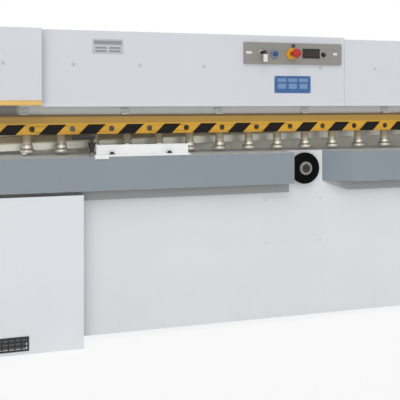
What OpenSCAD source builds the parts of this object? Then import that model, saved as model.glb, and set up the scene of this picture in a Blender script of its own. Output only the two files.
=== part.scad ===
// Hydraulic guillotine shear, about three metres long.
// +X runs to the operator's right, +Y into the machine, +Z up.
// The origin is on the floor, at the middle of the machine's length and depth.

/* [Overall] */
// Length over the end casings
overall_w = 3320; // [3300:10:3400]
// Depth from the table's face to the rear feet
overall_d = 1500; // [1480:10:1560]
// Thickness of the folded sheet casings
sheet_t = 3; // [2:0.5:4]

/* [Table and bed] */
// Height of the work surface
table_h = 850; // [840:2:860]
// Height of the table's front face
table_face_h = 152; // [120:2:160]
// Depth of the table sections in front of the bed
table_d = 110; // [100:2:120]
// Thickness of the table sections' top plate
table_top_t = 28; // [20:1:34]
// Wall of the table sections
table_wall = 14; // [8:1:18]
// Length by which the table overhangs each side frame
table_overhang = 50; // [20:5:56]
// Right-hand end of the left table section
table_left_end = -118; // [-130:2:-112]
// Rear corner of the right table section's slanted end
table_right_end = 86; // [80:2:110]
// Height of the rail under the table
rail_h = 48; // [40:2:56]
// Distance of the rail behind the table's face
rail_setback = 63; // [55:1:70]
// Thickness of the bed's front plate
bed_t = 28; // [20:1:32]
// Thickness of the bed's work surface
bed_top_t = 40; // [30:1:44]
// Thickness of the bed's rear web
bed_web_t = 40; // [30:1:46]
// Distance of the bed's box section's underside below the table's top
bed_box_drop = 290; // [270:5:310]
// Height of the bed's front plate above the floor
apron_clear = 26; // [22:2:60]

/* [Side frames] */
// Thickness of the side frames
frame_t = 40; // [30:1:46]
// Distance of the side frames inside the casings' ends
side_gap = 60; // [56:1:64]
// Height of the throat in the side frames
throat_h = 228; // [210:2:232]
// Depth of the throat behind the cutting line
throat_back = 120; // [112:2:150]
// Thickness of the foot plates
foot_t = 20; // [15:1:24]
// Length of a foot plate along the machine
foot_w = 140; // [134:2:144]
// Depth of a foot plate
foot_d = 180; // [140:5:200]
// Radius of the floor anchor holes
anchor_r = 13; // [9:1:13]

/* [Crossbeams] */
// Underside of the upper crossbeam above the table's top
crossbeam_rise = 350; // [346:2:360]
// Depth of the upper crossbeam
crossbeam_d = 180; // [160:5:190]
// Wall of the crossbeams
crossbeam_wall = 15; // [8:1:18]
// Distance of the upper crossbeam behind the cutting line
crossbeam_back = 240; // [236:2:250]
// Size of the rear crossbeams' square tube
rear_beam_size = 100; // [80:2:110]

/* [Knives and ram] */
// Distance of the cutting line behind the table's face
cut_setback = 270; // [266:1:276]
// Gap between the knives' ends and the side frames
knife_end_gap = 20; // [18:1:30]
// Height of the knives
knife_h = 66; // [56:2:70]
// Thickness of the knives
knife_t = 25; // [18:1:28]
// Gap between the two knives' faces
knife_gap = 0.4; // [0.3:0.05:1]
// Opening between the upper knife's low end and the table
knife_opening = 12; // [11:0.5:14]
// Rise of the upper knife over the length of cut
knife_rake = 75; // [60:1:84]
// Thickness of the ram's plate
ram_t = 50; // [36:1:52]
// Distance of the ram's top below the machine's top
ram_top_gap = 76; // [70:2:96]
// Ram's working stroke
ram_stroke = 100; // [80:1:102]
// Number of ribs behind the ram
ram_rib_count = 5; // [3:1:7]
// Depth of the ram's ribs
ram_rib_d = 55; // [40:1:56]
// Gap between the ram's ends and its guides
ram_guide_gap = 0.3; // [0.2:0.05:0.5]

/* [Main cylinders] */
// Outer radius of the main cylinders
cyl_r = 60; // [54:1:62]
// Bore radius of the main cylinders
cyl_bore_r = 46; // [40:1:48]
// Radius of the piston rods
rod_r = 28; // [22:1:32]
// Radial clearance of pistons and plungers in their bores
fit_gap = 0.05; // [0.02:0.01:0.08]
// Height of the main cylinders' lower end above the table's top
cyl_rise = 250; // [242:2:260]
// Distance of the cylinders' tops below the machine's top
cyl_top_gap = 26; // [20:1:36]
// Distance of the cylinders' axes inside the side frames
cyl_inset = 90; // [82:1:96]

/* [Hold-downs] */
// Distance of an end hold-down's axis from its side frame
hold_end_gap = 174; // [160:2:190]
// Distance of the middle hold-down's axis right of the middle
hold_shift = 21; // [0:1:26]
// Number of hold-downs on each side of the middle one
hold_side_count = 9; // [6:1:9]
// Opening between the hold-down pads and the table
pad_opening = 12; // [10:0.5:14]
// Radius of a pad
pad_r = 33; // [28:1:34]
// Height of a pad
pad_h = 35; // [28:1:38]
// Radius of a hold-down plunger
plunger_r = 20; // [14:1:22]
// Outer radius of a hold-down cylinder
hold_cyl_r = 32; // [28:1:33]
// Underside of the hold-down cylinders above the table's top
hold_cyl_rise = 100; // [90:2:106]
// Underside of the hold-down beam above the table's top
hold_beam_rise = 183; // [176:1:186]
// Distance of the hold-down beam's top below the machine's top
hold_beam_gap = 83; // [78:1:100]
// Depth of the hold-down beam
hold_beam_d = 90; // [84:1:92]
// Distance of the hold-down beam behind the table's face
hold_beam_setback = 140; // [136:1:144]
// Wall of the hold-down beam
hold_beam_wall = 14; // [8:1:16]

/* [Finger guard] */
// Underside of the guard above the table's top
guard_rise = 96; // [90:1:100]
// Height of the guard
guard_h = 90; // [80:1:90]
// Height of the striped band
stripe_h = 45; // [36:1:50]
// Distance between stripes, and between the sight holes
stripe_pitch = 180; // [160:5:190]
// Length of a black stripe along the guard
stripe_w = 80; // [70:2:96]
// Radius of the sight holes
sight_hole_r = 13; // [8:1:15]
// Thickness of the guard's plate
guard_t = 4; // [3:0.5:5]
// Distance of the guard behind the table's face
guard_setback = 110; // [108:1:114]

/* [Casings] */
// Width of the upper end housings
housing_w = 343; // [330:1:350]
// Underside of the upper end housings above the table's top
housing_rise = 228; // [227:1:234]
// Height of the upper end housings
housing_h = 338; // [332:2:362]
// Distance of the end casings behind the table's face
casing_setback = 13; // [10:1:16]
// How far the end casings reach behind the table's face
casing_d = 850; // [800:10:900]
// Width of the lower end cabinets
cabinet_w = 526; // [500:2:540]
// Distance of the lower end cabinets' top below the table's top
cabinet_drop = 169; // [160:1:180]
// Distance of the beam cover behind the table's face
cover_setback = 70; // [66:1:74]
// Underside of the beam cover above the table's top
cover_rise = 222; // [220:1:228]
// Joint between the two lengths of beam cover
cover_joint_x = 190; // [180:1:200]
// How much lower the right length of cover is
cover_step = 9; // [6:0.5:12]
// Gap between neighbouring covers
cover_gap = 1; // [0.5:0.5:2]
// Distance of the first cover screw from the cover's left end
cover_screw_left = 143; // [120:1:160]
// Distance of the last cover screw from the cover's right end
cover_screw_right = 335; // [300:5:360]
// Distance of the cover's screws below the machine's top
cover_screw_drop = 154; // [150:2:166]
// Radius of the cover's screw heads
cover_screw_r = 9; // [6:1:12]
// Height of the trim bar on the end housings
trim_h = 22; // [16:1:26]

/* [Ventilation grilles] */
// Width of a grille
grille_w = 228; // [200:2:240]
// Height of a grille
grille_h = 62; // [56:1:70]
// Height of a grille above the floor
grille_z = 18; // [14:1:26]
// Number of slots along a grille
grille_cols = 8; // [6:1:10]
// Number of rows of slots
grille_rows = 3; // [2:1:4]

/* [Front gauge] */
// Distance of the front gauge bar from the left casing's end
gauge_bar_inset = 585; // [560:5:600]
// Length of the front gauge bar
gauge_bar_w = 431; // [400:1:440]
// Height of the front gauge bar
gauge_bar_h = 50; // [40:1:54]
// Length of the clamp lever's handle
clamp_lever_l = 101; // [90:1:110]
// Height of the clamp lever's hub
clamp_hub_h = 44; // [40:1:46]

/* [Back gauge] */
// Distance from the cutting line to the back gauge at rest
gauge_rest = 100; // [98:1:110]
// Travel of the back gauge
gauge_travel = 500; // [400:5:510]
// Gap between the back gauge bar's ends and the side frames
gauge_end_gap = 210; // [190:5:260]
// Distance of the gauge screws from the middle
screw_x = 900; // [860:5:940]
// Distance of the gauge drive's axes below the table's top
drive_drop = 86; // [84:1:88]
// Distance of the cross shaft behind the cutting line
cross_back = 180; // [176:1:186]
// Radius of the gauge screws
screw_r = 14; // [10:0.5:16]
// Radius of the cross shaft and handwheel shaft
shaft_r = 12; // [9:0.5:14]
// Large radius of the mitre gears' pitch cones
mitre_r = 30; // [26:1:32]
// Width of the gauge rails
gauge_rail_w = 120; // [116:2:130]
// Height of the gauge rails
gauge_rail_h = 60; // [50:1:70]

/* [Handwheel] */
// Distance of the handwheel's axis from the middle
wheel_x = -26; // [-32:1:-20]
// Radius of the handwheel
wheel_r = 78; // [64:1:80]
// Radius of the dial in the handwheel
dial_r = 33; // [28:1:36]
// Thickness of the handwheel's rim
wheel_t = 28; // [20:1:30]
// Distance of the handwheel behind the table's face
wheel_setback = 62; // [50:1:64]

/* [Control panel] */
// Left edge of the control panel
panel_x = -355; // [-370:1:-350]
// Length of the control panel
panel_w = 521; // [515:1:530]
// Distance of the panel's underside below the machine's top
panel_drop = 139; // [134:1:142]
// Height of the control panel
panel_h = 104; // [100:1:112]
// Depth of the control panel
panel_d = 17; // [12:1:20]
// Height of the controls' centre line above the panel's underside
control_rise = 54; // [50:1:56]
// Width of the counter's display
display_w = 93; // [80:1:96]
// Height of the counter's display
display_h = 47; // [40:1:50]
// Radius of the emergency stop's base
estop_base_r = 28; // [24:1:30]
// Radius of the emergency stop's head
estop_head_r = 23; // [18:1:24]
// Radius of the push button
button_r = 12; // [9:1:14]
// Side play of the buttons in their rings
button_gap = 0.3; // [0.2:0.05:0.5]
// Width of the sign plate
sign_w = 195; // [180:1:200]
// Height of the sign plate
sign_h = 84; // [76:1:88]
// Distance of the sign plate right of the panel's left edge
sign_inset = 162; // [150:1:180]
// Distance of the sign plate above the cover's lower edge
sign_rise = 64; // [54:1:70]

/* [Hydraulic unit] */
// Width of the oil tank
tank_w = 700; // [600:10:740]
// Distance of the oil tank inside the left side frame
tank_inset = 460; // [400:10:500]
// Height of the oil tank
tank_h = 284; // [240:2:290]
// Depth of the oil tank
tank_d = 300; // [260:5:320]
// Radius of the motor's body
motor_r = 70; // [60:1:74]
// Length of the motor's body
motor_l = 220; // [200:2:230]
// Radius of the oil pipes
pipe_r = 8; // [6:0.5:9]

/* [Hidden] */
$fn = 48;
eps = 1;
front_y = -overall_d / 2;
rear_y = overall_d / 2;
half_w = overall_w / 2;
// Levels counted from the table's top
bed_box_z = table_h - bed_box_drop;
cabinet_top = table_h - cabinet_drop;
drive_z = table_h - drive_drop;
guard_z = table_h + guard_rise;
hold_cyl_z = table_h + hold_cyl_rise;
hold_beam_z = table_h + hold_beam_rise;
cover_z = table_h + cover_rise;
housing_z = table_h + housing_rise;
cyl_z = table_h + cyl_rise;
crossbeam_z = table_h + crossbeam_rise;
overall_h = housing_z + housing_h;
// The machine's plan
bed_y = front_y + table_d;
cut_y = front_y + cut_setback;
rail_y = front_y + rail_setback;
cover_y = front_y + cover_setback;
guard_y = front_y + guard_setback;
casing_y = front_y + casing_setback;
casing_end_y = casing_y + casing_d;
hold_beam_y = front_y + hold_beam_setback;
frame_out = half_w - side_gap;
frame_in = frame_out - frame_t;
frame_top = overall_h - sheet_t;
table_z = table_h - table_face_h;
rail_z = table_z - rail_h;
table_half_w = frame_out + table_overhang;
throat_end_y = cut_y + throat_back;
throat_top = table_h + throat_h;
crossbeam_y = cut_y + crossbeam_back;
crossbeam_top = overall_h - sheet_t - cover_step;
crossbeam_end_y = crossbeam_y + crossbeam_d;
anchor_x = frame_in - 30;
anchor_front_y = bed_y + 100;
anchor_rear_y = rear_y - foot_d / 2;
// Knives and ram
cut_length = 2 * (frame_in - knife_end_gap);
knife_back_y = cut_y - knife_t;
blade_y = cut_y + knife_gap;
ram_y = blade_y + knife_t;
ram_end_y = ram_y + ram_t;
ram_half_w = cut_length / 2 + 5;
ram_top = overall_h - ram_top_gap;
blade_low_z = table_h + knife_opening;
rake_per_mm = knife_rake / cut_length;
ram_lift = 4;
gauge_bar_top = table_h + 84;
ram_rib_z = gauge_bar_top + ram_stroke + 6;
cyl_x = frame_in - cyl_inset;
cyl_y = ram_end_y + 75;
cyl_h = overall_h - cyl_top_gap - cyl_z;
ear_t = 30;
ear_top = cyl_z - 80;
// Hold-downs
pad_z = table_h + pad_opening;
pad_y = hold_beam_y + 35;
hold_beam_h = overall_h - hold_beam_gap - hold_beam_z;
hold_pitch = (frame_in - hold_end_gap) / hold_side_count;
hold_x = [for (k = [-hold_side_count : hold_side_count]) k * hold_pitch + hold_shift];
// Back gauge
gauge_half_w = frame_in - gauge_end_gap;
gauge_y = cut_y + gauge_rest;
cross_y = cut_y + cross_back;
gauge_rail_top = drive_z - 64;
mitre_small = shaft_r + 2;
mitre_gap = 0.5;
carriage_l = 60;
front_bearing_y = cross_y + mitre_r + 8;
bearing_l = 30;
carriage_y = front_bearing_y + bearing_l + 8;
rear_bearing_y = carriage_y + carriage_l + gauge_travel + 10;
rear_beam_y = rear_bearing_y + bearing_l + 20;
gauge_arm_z = drive_z + 60;
gauge_t = 15;
// Front gauge bar and its clamp lever
gauge_bar_x = -half_w + gauge_bar_inset;
bar_y = front_y + 46;
stud_r = 4;
bar_base_t = 8;
lever_boss_h = 10;
clamp_roof_t = 6;
lever_x = gauge_bar_x - 21;
lever_y = bar_y - 20;
lever_z = table_h + bar_base_t + lever_boss_h + 0.3;
// Control panel
panel_y = cover_y - panel_d;
panel_z = overall_h - panel_drop;
panel_mid_z = panel_z + control_rise;
estop_x = panel_x + 245;
switch_x = panel_x + 85;
button_x = panel_x + 155;
display_x = panel_x + 305;
speed_x = panel_x + 419;
lamp_x = panel_x + 255;
lamp_z = panel_z + panel_h - 14;
// Cover's screws; none lies between the control panel and the sign
cover_screw_z = overall_h - cover_screw_drop;
cover_screw_first = -half_w + housing_w + cover_screw_left;
cover_screw_pitch = (half_w - housing_w - cover_screw_right - cover_screw_first) / 7;
cover_screw_xs = [for (k = [0, 1, 2, 4, 5, 6, 7]) cover_screw_first + k * cover_screw_pitch];
// Hydraulic unit
tank_x = -frame_in + tank_inset;
tank_z = crossbeam_top - tank_h;
motor_y = crossbeam_end_y + 110;
motor_z = crossbeam_z + 60;
pump_l = 90;
motor_x = tank_x + tank_w + pump_l;
valve_x = 50;
valve_z = crossbeam_top - 122;
pressure_x = valve_x + 60;
return_x = valve_x + 140;
pressure_z = cyl_z + cyl_h - 18;
return_z = cyl_z + 30;
port_l = 8;
port_size = 28;

// ---- Shared shapes ----

// A box given by its low and high corners
module span(low, high) {
    translate(low)
        cube(high - low);
}

// A profile drawn in the Y-Z plane, run along X from x0 to x1
module along_x(x0, x1) {
    translate([x0, 0, 0])
        rotate([90, 0, 90])
            linear_extrude(x1 - x0)
                children();
}

// A cylinder on an axis along Y
module rod_y(x, z, r, y0, y1) {
    translate([x, y0, z])
        rotate([-90, 0, 0])
            cylinder(h = y1 - y0, r = r);
}

// A cylinder on an axis along X
module rod_x(y, z, r, x0, x1) {
    translate([x0, y, z])
        rotate([0, 90, 0])
            cylinder(h = x1 - x0, r = r);
}

// The same piece at both ends of the machine; children are drawn for the left end
module both_ends() {
    children();
    mirror([1, 0, 0])
        children();
}

// ---- Frame ----

// Flame-cut side plate with a round-ended throat
module side_frame() {
    throat_r = throat_h / 2;
    difference() {
        along_x(-frame_out, -frame_in)
            polygon([
                [bed_y, foot_t], [rear_y - 30, foot_t], [rear_y - 30, foot_t + 110],
                [rear_beam_y + rear_beam_size + 30, bed_box_z], [rear_beam_y + rear_beam_size + 30, drive_z],
                [crossbeam_end_y + 320, gauge_bar_top], [crossbeam_end_y + 320, frame_top],
                [bed_y, frame_top]
            ]);
        span([-frame_out - eps, bed_y - eps, table_h],
             [-frame_in + eps, throat_end_y - throat_r, throat_top]);
        rod_x(throat_end_y - throat_r, table_h + throat_r, throat_r, -frame_out - eps, -frame_in + eps);
    }
}

module side_frame_left() {
    color("gainsboro")
        side_frame();
}

module side_frame_right() {
    color("gainsboro")
        mirror([1, 0, 0])
            side_frame();
}

// Welded bed: deep front plate, work surface and the box behind it
module bed() {
    box_wall = bed_t;
    color("gainsboro")
        difference() {
            union() {
                span([-frame_in, bed_y, apron_clear], [frame_in, bed_y + bed_t, table_h]);
                span([-frame_in, bed_y + bed_t - eps, table_h - bed_top_t],
                     [frame_in, knife_back_y, table_h]);
                span([-frame_in, knife_back_y - bed_web_t, bed_box_z],
                     [frame_in, knife_back_y, table_h - eps]);
                span([-frame_in, bed_y + eps, bed_box_z],
                     [frame_in, knife_back_y - eps, bed_box_z + box_wall]);
            }
            rod_y(wheel_x, drive_z, shaft_r + 4, bed_y - eps, knife_back_y + eps);
        }
}

// Hollow beam that carries the hold-down cylinders and the cover's screw blocks
module hold_down_beam() {
    block = 40;
    color("silver") {
        difference() {
            span([-frame_in, hold_beam_y, hold_beam_z],
                 [frame_in, hold_beam_y + hold_beam_d, hold_beam_z + hold_beam_h]);
            span([-frame_in - eps, hold_beam_y + hold_beam_wall, hold_beam_z + hold_beam_wall],
                 [frame_in + eps, hold_beam_y + hold_beam_d - hold_beam_wall,
                  hold_beam_z + hold_beam_h - hold_beam_wall]);
        }
        for (x = cover_screw_xs)
            span([x - block / 2, cover_y + sheet_t, cover_screw_z - block / 2],
                 [x + block / 2, hold_beam_y, cover_screw_z + block / 2]);
    }
}

// Box beam behind the ram, with two clearance holes for the pressure pipe
module upper_crossbeam() {
    color("gainsboro")
        difference() {
            span([-frame_in, crossbeam_y, crossbeam_z], [frame_in, crossbeam_end_y, crossbeam_top]);
            span([-frame_in - eps, crossbeam_y + crossbeam_wall, crossbeam_z + crossbeam_wall],
                 [frame_in + eps, crossbeam_end_y - crossbeam_wall, crossbeam_top - crossbeam_wall]);
            rod_y(pressure_x, pressure_z, pipe_r + 2, crossbeam_y - eps, crossbeam_end_y + eps);
        }
}

// Square tube between the side frames
module tube_beam(y, z, size) {
    wall = 8;
    difference() {
        span([-frame_in, y, z], [frame_in, y + size, z + size]);
        span([-frame_in - eps, y + wall, z + wall], [frame_in + eps, y + size - wall, z + size - wall]);
    }
}

// Upper tube carries the gauge rails, lower tube carries the chute
module rear_crossbeams() {
    color("gainsboro") {
        tube_beam(rear_beam_y, gauge_rail_top - rear_beam_size, rear_beam_size);
        tube_beam(chute_low_y, chute_low_z - chute_beam, chute_beam);
    }
}

// Outer edge of the left foot plates
foot_x = -frame_out - 40;

// Plates welded under the side frames, each with an anchor hole
module foot_plates() {
    color("dimgray")
        both_ends()
            for (y = [anchor_front_y, anchor_rear_y])
                difference() {
                    span([foot_x, y - foot_d / 2, 0], [foot_x + foot_w, y + foot_d / 2, foot_t]);
                    translate([-anchor_x, y, -eps])
                        cylinder(h = foot_t + 2 * eps, r = anchor_r);
                }
}

// ---- Covers and casings ----

// Folded front and top sheet over the hold-down beam and ram, with a flared lower lip
module beam_cover(x0, x1, top) {
    flare = 4;
    lip = 14;
    hem = 20;
    along_x(x0, x1)
        polygon([
            [cover_y + hem, cover_z], [cover_y - flare, cover_z], [cover_y, cover_z + lip],
            [cover_y, top], [crossbeam_end_y, top], [crossbeam_end_y, top - sheet_t],
            [cover_y + sheet_t, top - sheet_t], [cover_y + sheet_t, cover_z + lip],
            [cover_y + sheet_t - flare * 0.8, cover_z + sheet_t], [cover_y + hem, cover_z + sheet_t]
        ]);
    if (top - sheet_t > crossbeam_top)
        span([x0, crossbeam_end_y - sheet_t, crossbeam_top], [x1, crossbeam_end_y, top - sheet_t + eps]);
}

module beam_cover_left() {
    color("gainsboro")
        beam_cover(-half_w + housing_w + cover_gap, cover_joint_x - cover_gap / 2, overall_h);
}

module beam_cover_right() {
    color("gainsboro")
        beam_cover(cover_joint_x + cover_gap / 2, half_w - housing_w - cover_gap, overall_h - cover_step);
}

// Domed head of a cover screw on a face at y
module screw_head(x, y) {
    head_h = 4;
    translate([x, y, cover_screw_z])
        rotate([90, 0, 0])
            rotate_extrude()
                polygon([
                    [0, 0], [cover_screw_r, 0], [cover_screw_r, head_h * 0.4],
                    [cover_screw_r * 0.75, head_h * 0.8], [cover_screw_r * 0.4, head_h], [0, head_h]
                ]);
}

// Screw heads along the beam cover, and one on each end housing
module cover_screws() {
    color("silver") {
        for (x = cover_screw_xs)
            screw_head(x, cover_y);
        both_ends()
            screw_head(cover_screw_first - cover_screw_pitch, casing_y);
    }
}

// Upper end casing: front, outer side, top, a short inner return and a rear strip
module housing() {
    x0 = -half_w;
    x1 = -half_w + housing_w;
    difference() {
        span([x0, casing_y, housing_z], [x1, casing_end_y, overall_h]);
        span([x0 + sheet_t, casing_y + sheet_t, housing_z - eps],
             [x1 - sheet_t, casing_end_y - sheet_t, overall_h - sheet_t]);
        span([x1 - sheet_t - eps, cover_y - 5, housing_z - eps],
             [x1 + eps, casing_end_y + eps, overall_h - sheet_t]);
        span([-frame_out, casing_end_y - sheet_t - eps, housing_z - eps],
             [x1, casing_end_y + eps, overall_h - sheet_t]);
    }
}

module housing_left() {
    color("gainsboro")
        housing();
}

module housing_right() {
    color("gainsboro")
        mirror([1, 0, 0])
            housing();
}

// Yellow trim bars along the housings' lower front edges
module housing_trims() {
    trim_t = 4;
    color("goldenrod")
        both_ends()
            span([-half_w, casing_y - trim_t, housing_z],
                 [-half_w + housing_w, casing_y, housing_z + trim_h]);
}

// Lower end casing, notched over the table rail and cut for its grille
module cabinet() {
    x0 = -half_w;
    x1 = -half_w + cabinet_w;
    z0 = 2;
    difference() {
        span([x0, casing_y, z0], [x1, casing_end_y, cabinet_top]);
        span([x0 + sheet_t, casing_y + sheet_t, z0 - eps],
             [x1 - sheet_t, casing_end_y - sheet_t, cabinet_top - sheet_t]);
        span([x0 + sheet_t, rail_y - 1, z0 - eps], [x1 + eps, casing_end_y + eps, cabinet_top + eps]);
        span([grille_left + 6, casing_y - eps, grille_z + 6],
             [grille_left + grille_w - 6, casing_y + sheet_t + eps, grille_z + grille_h - 6]);
    }
    span([x1 - sheet_t, rail_y - 1 - eps, z0], [x1, bed_y, rail_z - 1]);
    span([x0, casing_end_y - sheet_t, z0], [-frame_out, casing_end_y, cabinet_top]);
}

grille_left = -half_w + 60;

module cabinet_left() {
    color("gainsboro")
        cabinet();
}

module cabinet_right() {
    color("gainsboro")
        mirror([1, 0, 0])
            cabinet();
}

// Slotted grilles at the foot of the cabinets
module vent_grilles() {
    grille_t = 4;
    margin = 8;
    bar = 5;
    cell_w = (grille_w - 2 * margin + bar) / grille_cols;
    cell_h = (grille_h - 2 * margin + bar) / grille_rows;
    color("black")
        both_ends()
            difference() {
                span([grille_left, casing_y - grille_t, grille_z],
                     [grille_left + grille_w, casing_y, grille_z + grille_h]);
                for (col = [0 : grille_cols - 1])
                    for (row = [0 : grille_rows - 1])
                        translate([grille_left + margin + col * cell_w, casing_y - grille_t - eps,
                                   grille_z + margin + row * cell_h])
                            cube([cell_w - bar, grille_t + 2 * eps, cell_h - bar]);
            }
}

// Removable plate over the handwheel drive's access hole
module access_panel() {
    plate_t = 2;
    plate_z = 386;
    plate_h = 234;
    color("gainsboro")
        span([wheel_x - 209, bed_y - plate_t, plate_z], [wheel_x + 112, bed_y, plate_z + plate_h]);
}

// ---- Table ----

// Cast section with a pocket underneath; plan is its outline seen from above
module table_section(plan, pocket) {
    difference() {
        translate([0, 0, table_z])
            linear_extrude(table_face_h)
                polygon(plan);
        translate([0, 0, table_z - eps])
            linear_extrude(table_face_h - table_top_t + eps)
                polygon(pocket);
    }
}

module table_left() {
    x0 = -table_half_w;
    x1 = table_left_end;
    color("slategray")
        table_section(
            [[x0, front_y], [x1, front_y], [x1, bed_y], [x0, bed_y]],
            [[x0 + table_wall, front_y + table_wall], [x1 - table_wall, front_y + table_wall],
             [x1 - table_wall, bed_y - table_wall], [x0 + table_wall, bed_y - table_wall]]
        );
}

module table_right() {
    x0 = table_right_end;
    x1 = table_half_w;
    slant = table_d;
    inset = table_wall * 1.6;
    color("slategray")
        table_section(
            [[x0 + slant, front_y], [x1, front_y], [x1, bed_y], [x0, bed_y]],
            [[x0 + slant + inset, front_y + table_wall], [x1 - table_wall, front_y + table_wall],
             [x1 - table_wall, bed_y - table_wall], [x0 + table_wall + inset, bed_y - table_wall]]
        );
}

// Bars bolted to the bed under the two table sections; the right one's end rises on a slant
module table_rails() {
    slant = bed_y - rail_y;
    undercut = 124;
    color("gray") {
        span([-table_half_w, rail_y, rail_z], [table_left_end, bed_y, table_z]);
        difference() {
            translate([0, 0, rail_z])
                linear_extrude(rail_h)
                    polygon([
                        [table_right_end + slant, rail_y], [table_half_w, rail_y],
                        [table_half_w, bed_y], [table_right_end, bed_y]
                    ]);
            translate([table_right_end, bed_y + eps, rail_z])
                rotate([90, 0, 0])
                    linear_extrude(slant + 2 * eps)
                        polygon([
                            [-eps, -eps], [undercut, -eps], [undercut, 0],
                            [0, rail_h - eps], [-eps, rail_h - eps]
                        ]);
        }
    }
}

// Angle bar that squares short pieces, hooked over the table's edge, with the clamp lever's stud
module front_gauge_bar() {
    upright_t = 10;
    base_d = 44;
    slot_w = 50;
    hook_t = 8;
    hook_w = 62;
    hook_drop = 10;
    foot_half = 12;
    boss_r = 9;
    boss_z = table_h + bar_base_t - eps;
    hook_x = gauge_bar_x - 12;
    slot_front_y = bar_y - base_d + 12;
    color("white")
        difference() {
            union() {
                translate([lever_x, lever_y, boss_z])
                    cylinder(h = lever_boss_h + eps, r = boss_r);
                translate([lever_x, lever_y, boss_z])
                    cylinder(h = lever_boss_h + clamp_hub_h - clamp_roof_t - 1, r = stud_r);
                span([lever_x - foot_half, lever_y - foot_half, table_h],
                     [gauge_bar_x, lever_y + foot_half, table_h + bar_base_t]);
                span([gauge_bar_x, bar_y - upright_t, table_h],
                     [gauge_bar_x + gauge_bar_w, bar_y, table_h + gauge_bar_h]);
                span([hook_x, bar_y - base_d, table_h],
                     [gauge_bar_x + gauge_bar_w, bar_y - upright_t + eps, table_h + bar_base_t]);
                span([hook_x, front_y - hook_t, table_h],
                     [hook_x + hook_w, bar_y - base_d + eps, table_h + bar_base_t]);
                span([hook_x, front_y - hook_t, table_h - hook_drop],
                     [hook_x + hook_w, front_y, table_h + eps]);
            }
            for (x = [gauge_bar_x + gauge_bar_w * 0.16, gauge_bar_x + gauge_bar_w * 0.78])
                span([x - slot_w / 2, slot_front_y, table_h - eps],
                     [x + slot_w / 2, bar_y - upright_t - 10, table_h + bar_base_t + eps]);
        }
}

// Clamp lever that turns on the gauge bar's stud: tapered hub, neck and a level handle
module gauge_clamp_lever() {
    hub_r = 9;
    hub_top_r = 18;
    neck_r = 7;
    neck_h = 24;
    handle_back = 14;
    handle_r = 8;
    handle_end_r = 11;
    color("black")
        translate([lever_x, lever_y, lever_z]) {
            difference() {
                cylinder(h = clamp_hub_h, r1 = hub_r, r2 = hub_top_r);
                translate([0, 0, -eps])
                    cylinder(h = clamp_hub_h - clamp_roof_t + eps, r = stud_r + fit_gap);
            }
            translate([0, 0, clamp_hub_h - eps])
                cylinder(h = neck_h + eps, r = neck_r);
            translate([handle_back, 0, clamp_hub_h + neck_h])
                rotate([0, -90, 0])
                    cylinder(h = clamp_lever_l, r1 = handle_r, r2 = handle_end_r);
        }
}

// ---- Finger guard ----

// Folded guard in front of the hold-downs, with a row of round sight holes
guard_half_w = frame_out + 10;

module finger_guard() {
    hole_z = guard_z + stripe_h * 0.55;
    last = floor((guard_half_w - sight_hole_r * 2) / stripe_pitch - 0.5);
    color("goldenrod")
        difference() {
            union() {
                span([-guard_half_w, guard_y, guard_z], [guard_half_w, guard_y + guard_t, guard_z + guard_h]);
                span([-guard_half_w, guard_y + guard_t - eps, guard_z + guard_h - guard_t],
                     [guard_half_w, hold_beam_y, guard_z + guard_h]);
            }
            for (k = [-last - 1 : last])
                rod_y((k + 0.5) * stripe_pitch, hole_z, sight_hole_r, guard_y - eps, guard_y + guard_t + eps);
        }
}

// Slanted black bars on the guard's lower half
module guard_stripes() {
    stripe_t = 0.8;
    lean = stripe_h / 2;
    last = floor((guard_half_w - stripe_w) / stripe_pitch);
    color("black")
        for (k = [-last : last])
            translate([k * stripe_pitch, guard_y, guard_z])
                rotate([90, 0, 0])
                    linear_extrude(stripe_t)
                        polygon([
                            [-stripe_w / 2 - lean, 0], [stripe_w / 2 - lean, 0],
                            [stripe_w / 2 + lean, stripe_h], [-stripe_w / 2 + lean, stripe_h]
                        ]);
}

// Angles that hang the guard on the hold-down beam's front face
module guard_brackets() {
    bracket_w = 40;
    bracket_t = 5;
    count = 3;
    color("gray")
        for (k = [-count : count])
            translate([k * hold_pitch * 3, 0, 0]) {
                span([-bracket_w / 2, hold_beam_y - bracket_t, guard_z + guard_h],
                     [bracket_w / 2, hold_beam_y, guard_z + guard_h + 30]);
                span([-bracket_w / 2, guard_y + 2, guard_z + guard_h],
                     [bracket_w / 2, hold_beam_y - bracket_t + eps, guard_z + guard_h + bracket_t]);
            }
}

// ---- Knives and ram ----

// Height of the upper knife's edge at x; its low end is on the left
function edge_z(x) = blade_low_z + (x + cut_length / 2) * rake_per_mm;

module lower_blade() {
    color("silver")
        span([-cut_length / 2, knife_back_y, table_h - knife_h], [cut_length / 2, cut_y, table_h]);
}

module upper_blade() {
    x1 = cut_length / 2;
    color("silver")
        translate([0, blade_y + knife_t, 0])
            rotate([90, 0, 0])
                linear_extrude(knife_t)
                    polygon([
                        [-x1, edge_z(-x1)], [x1, edge_z(x1)],
                        [x1, edge_z(x1) + knife_h], [-x1, edge_z(-x1) + knife_h]
                    ]);
}

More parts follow.
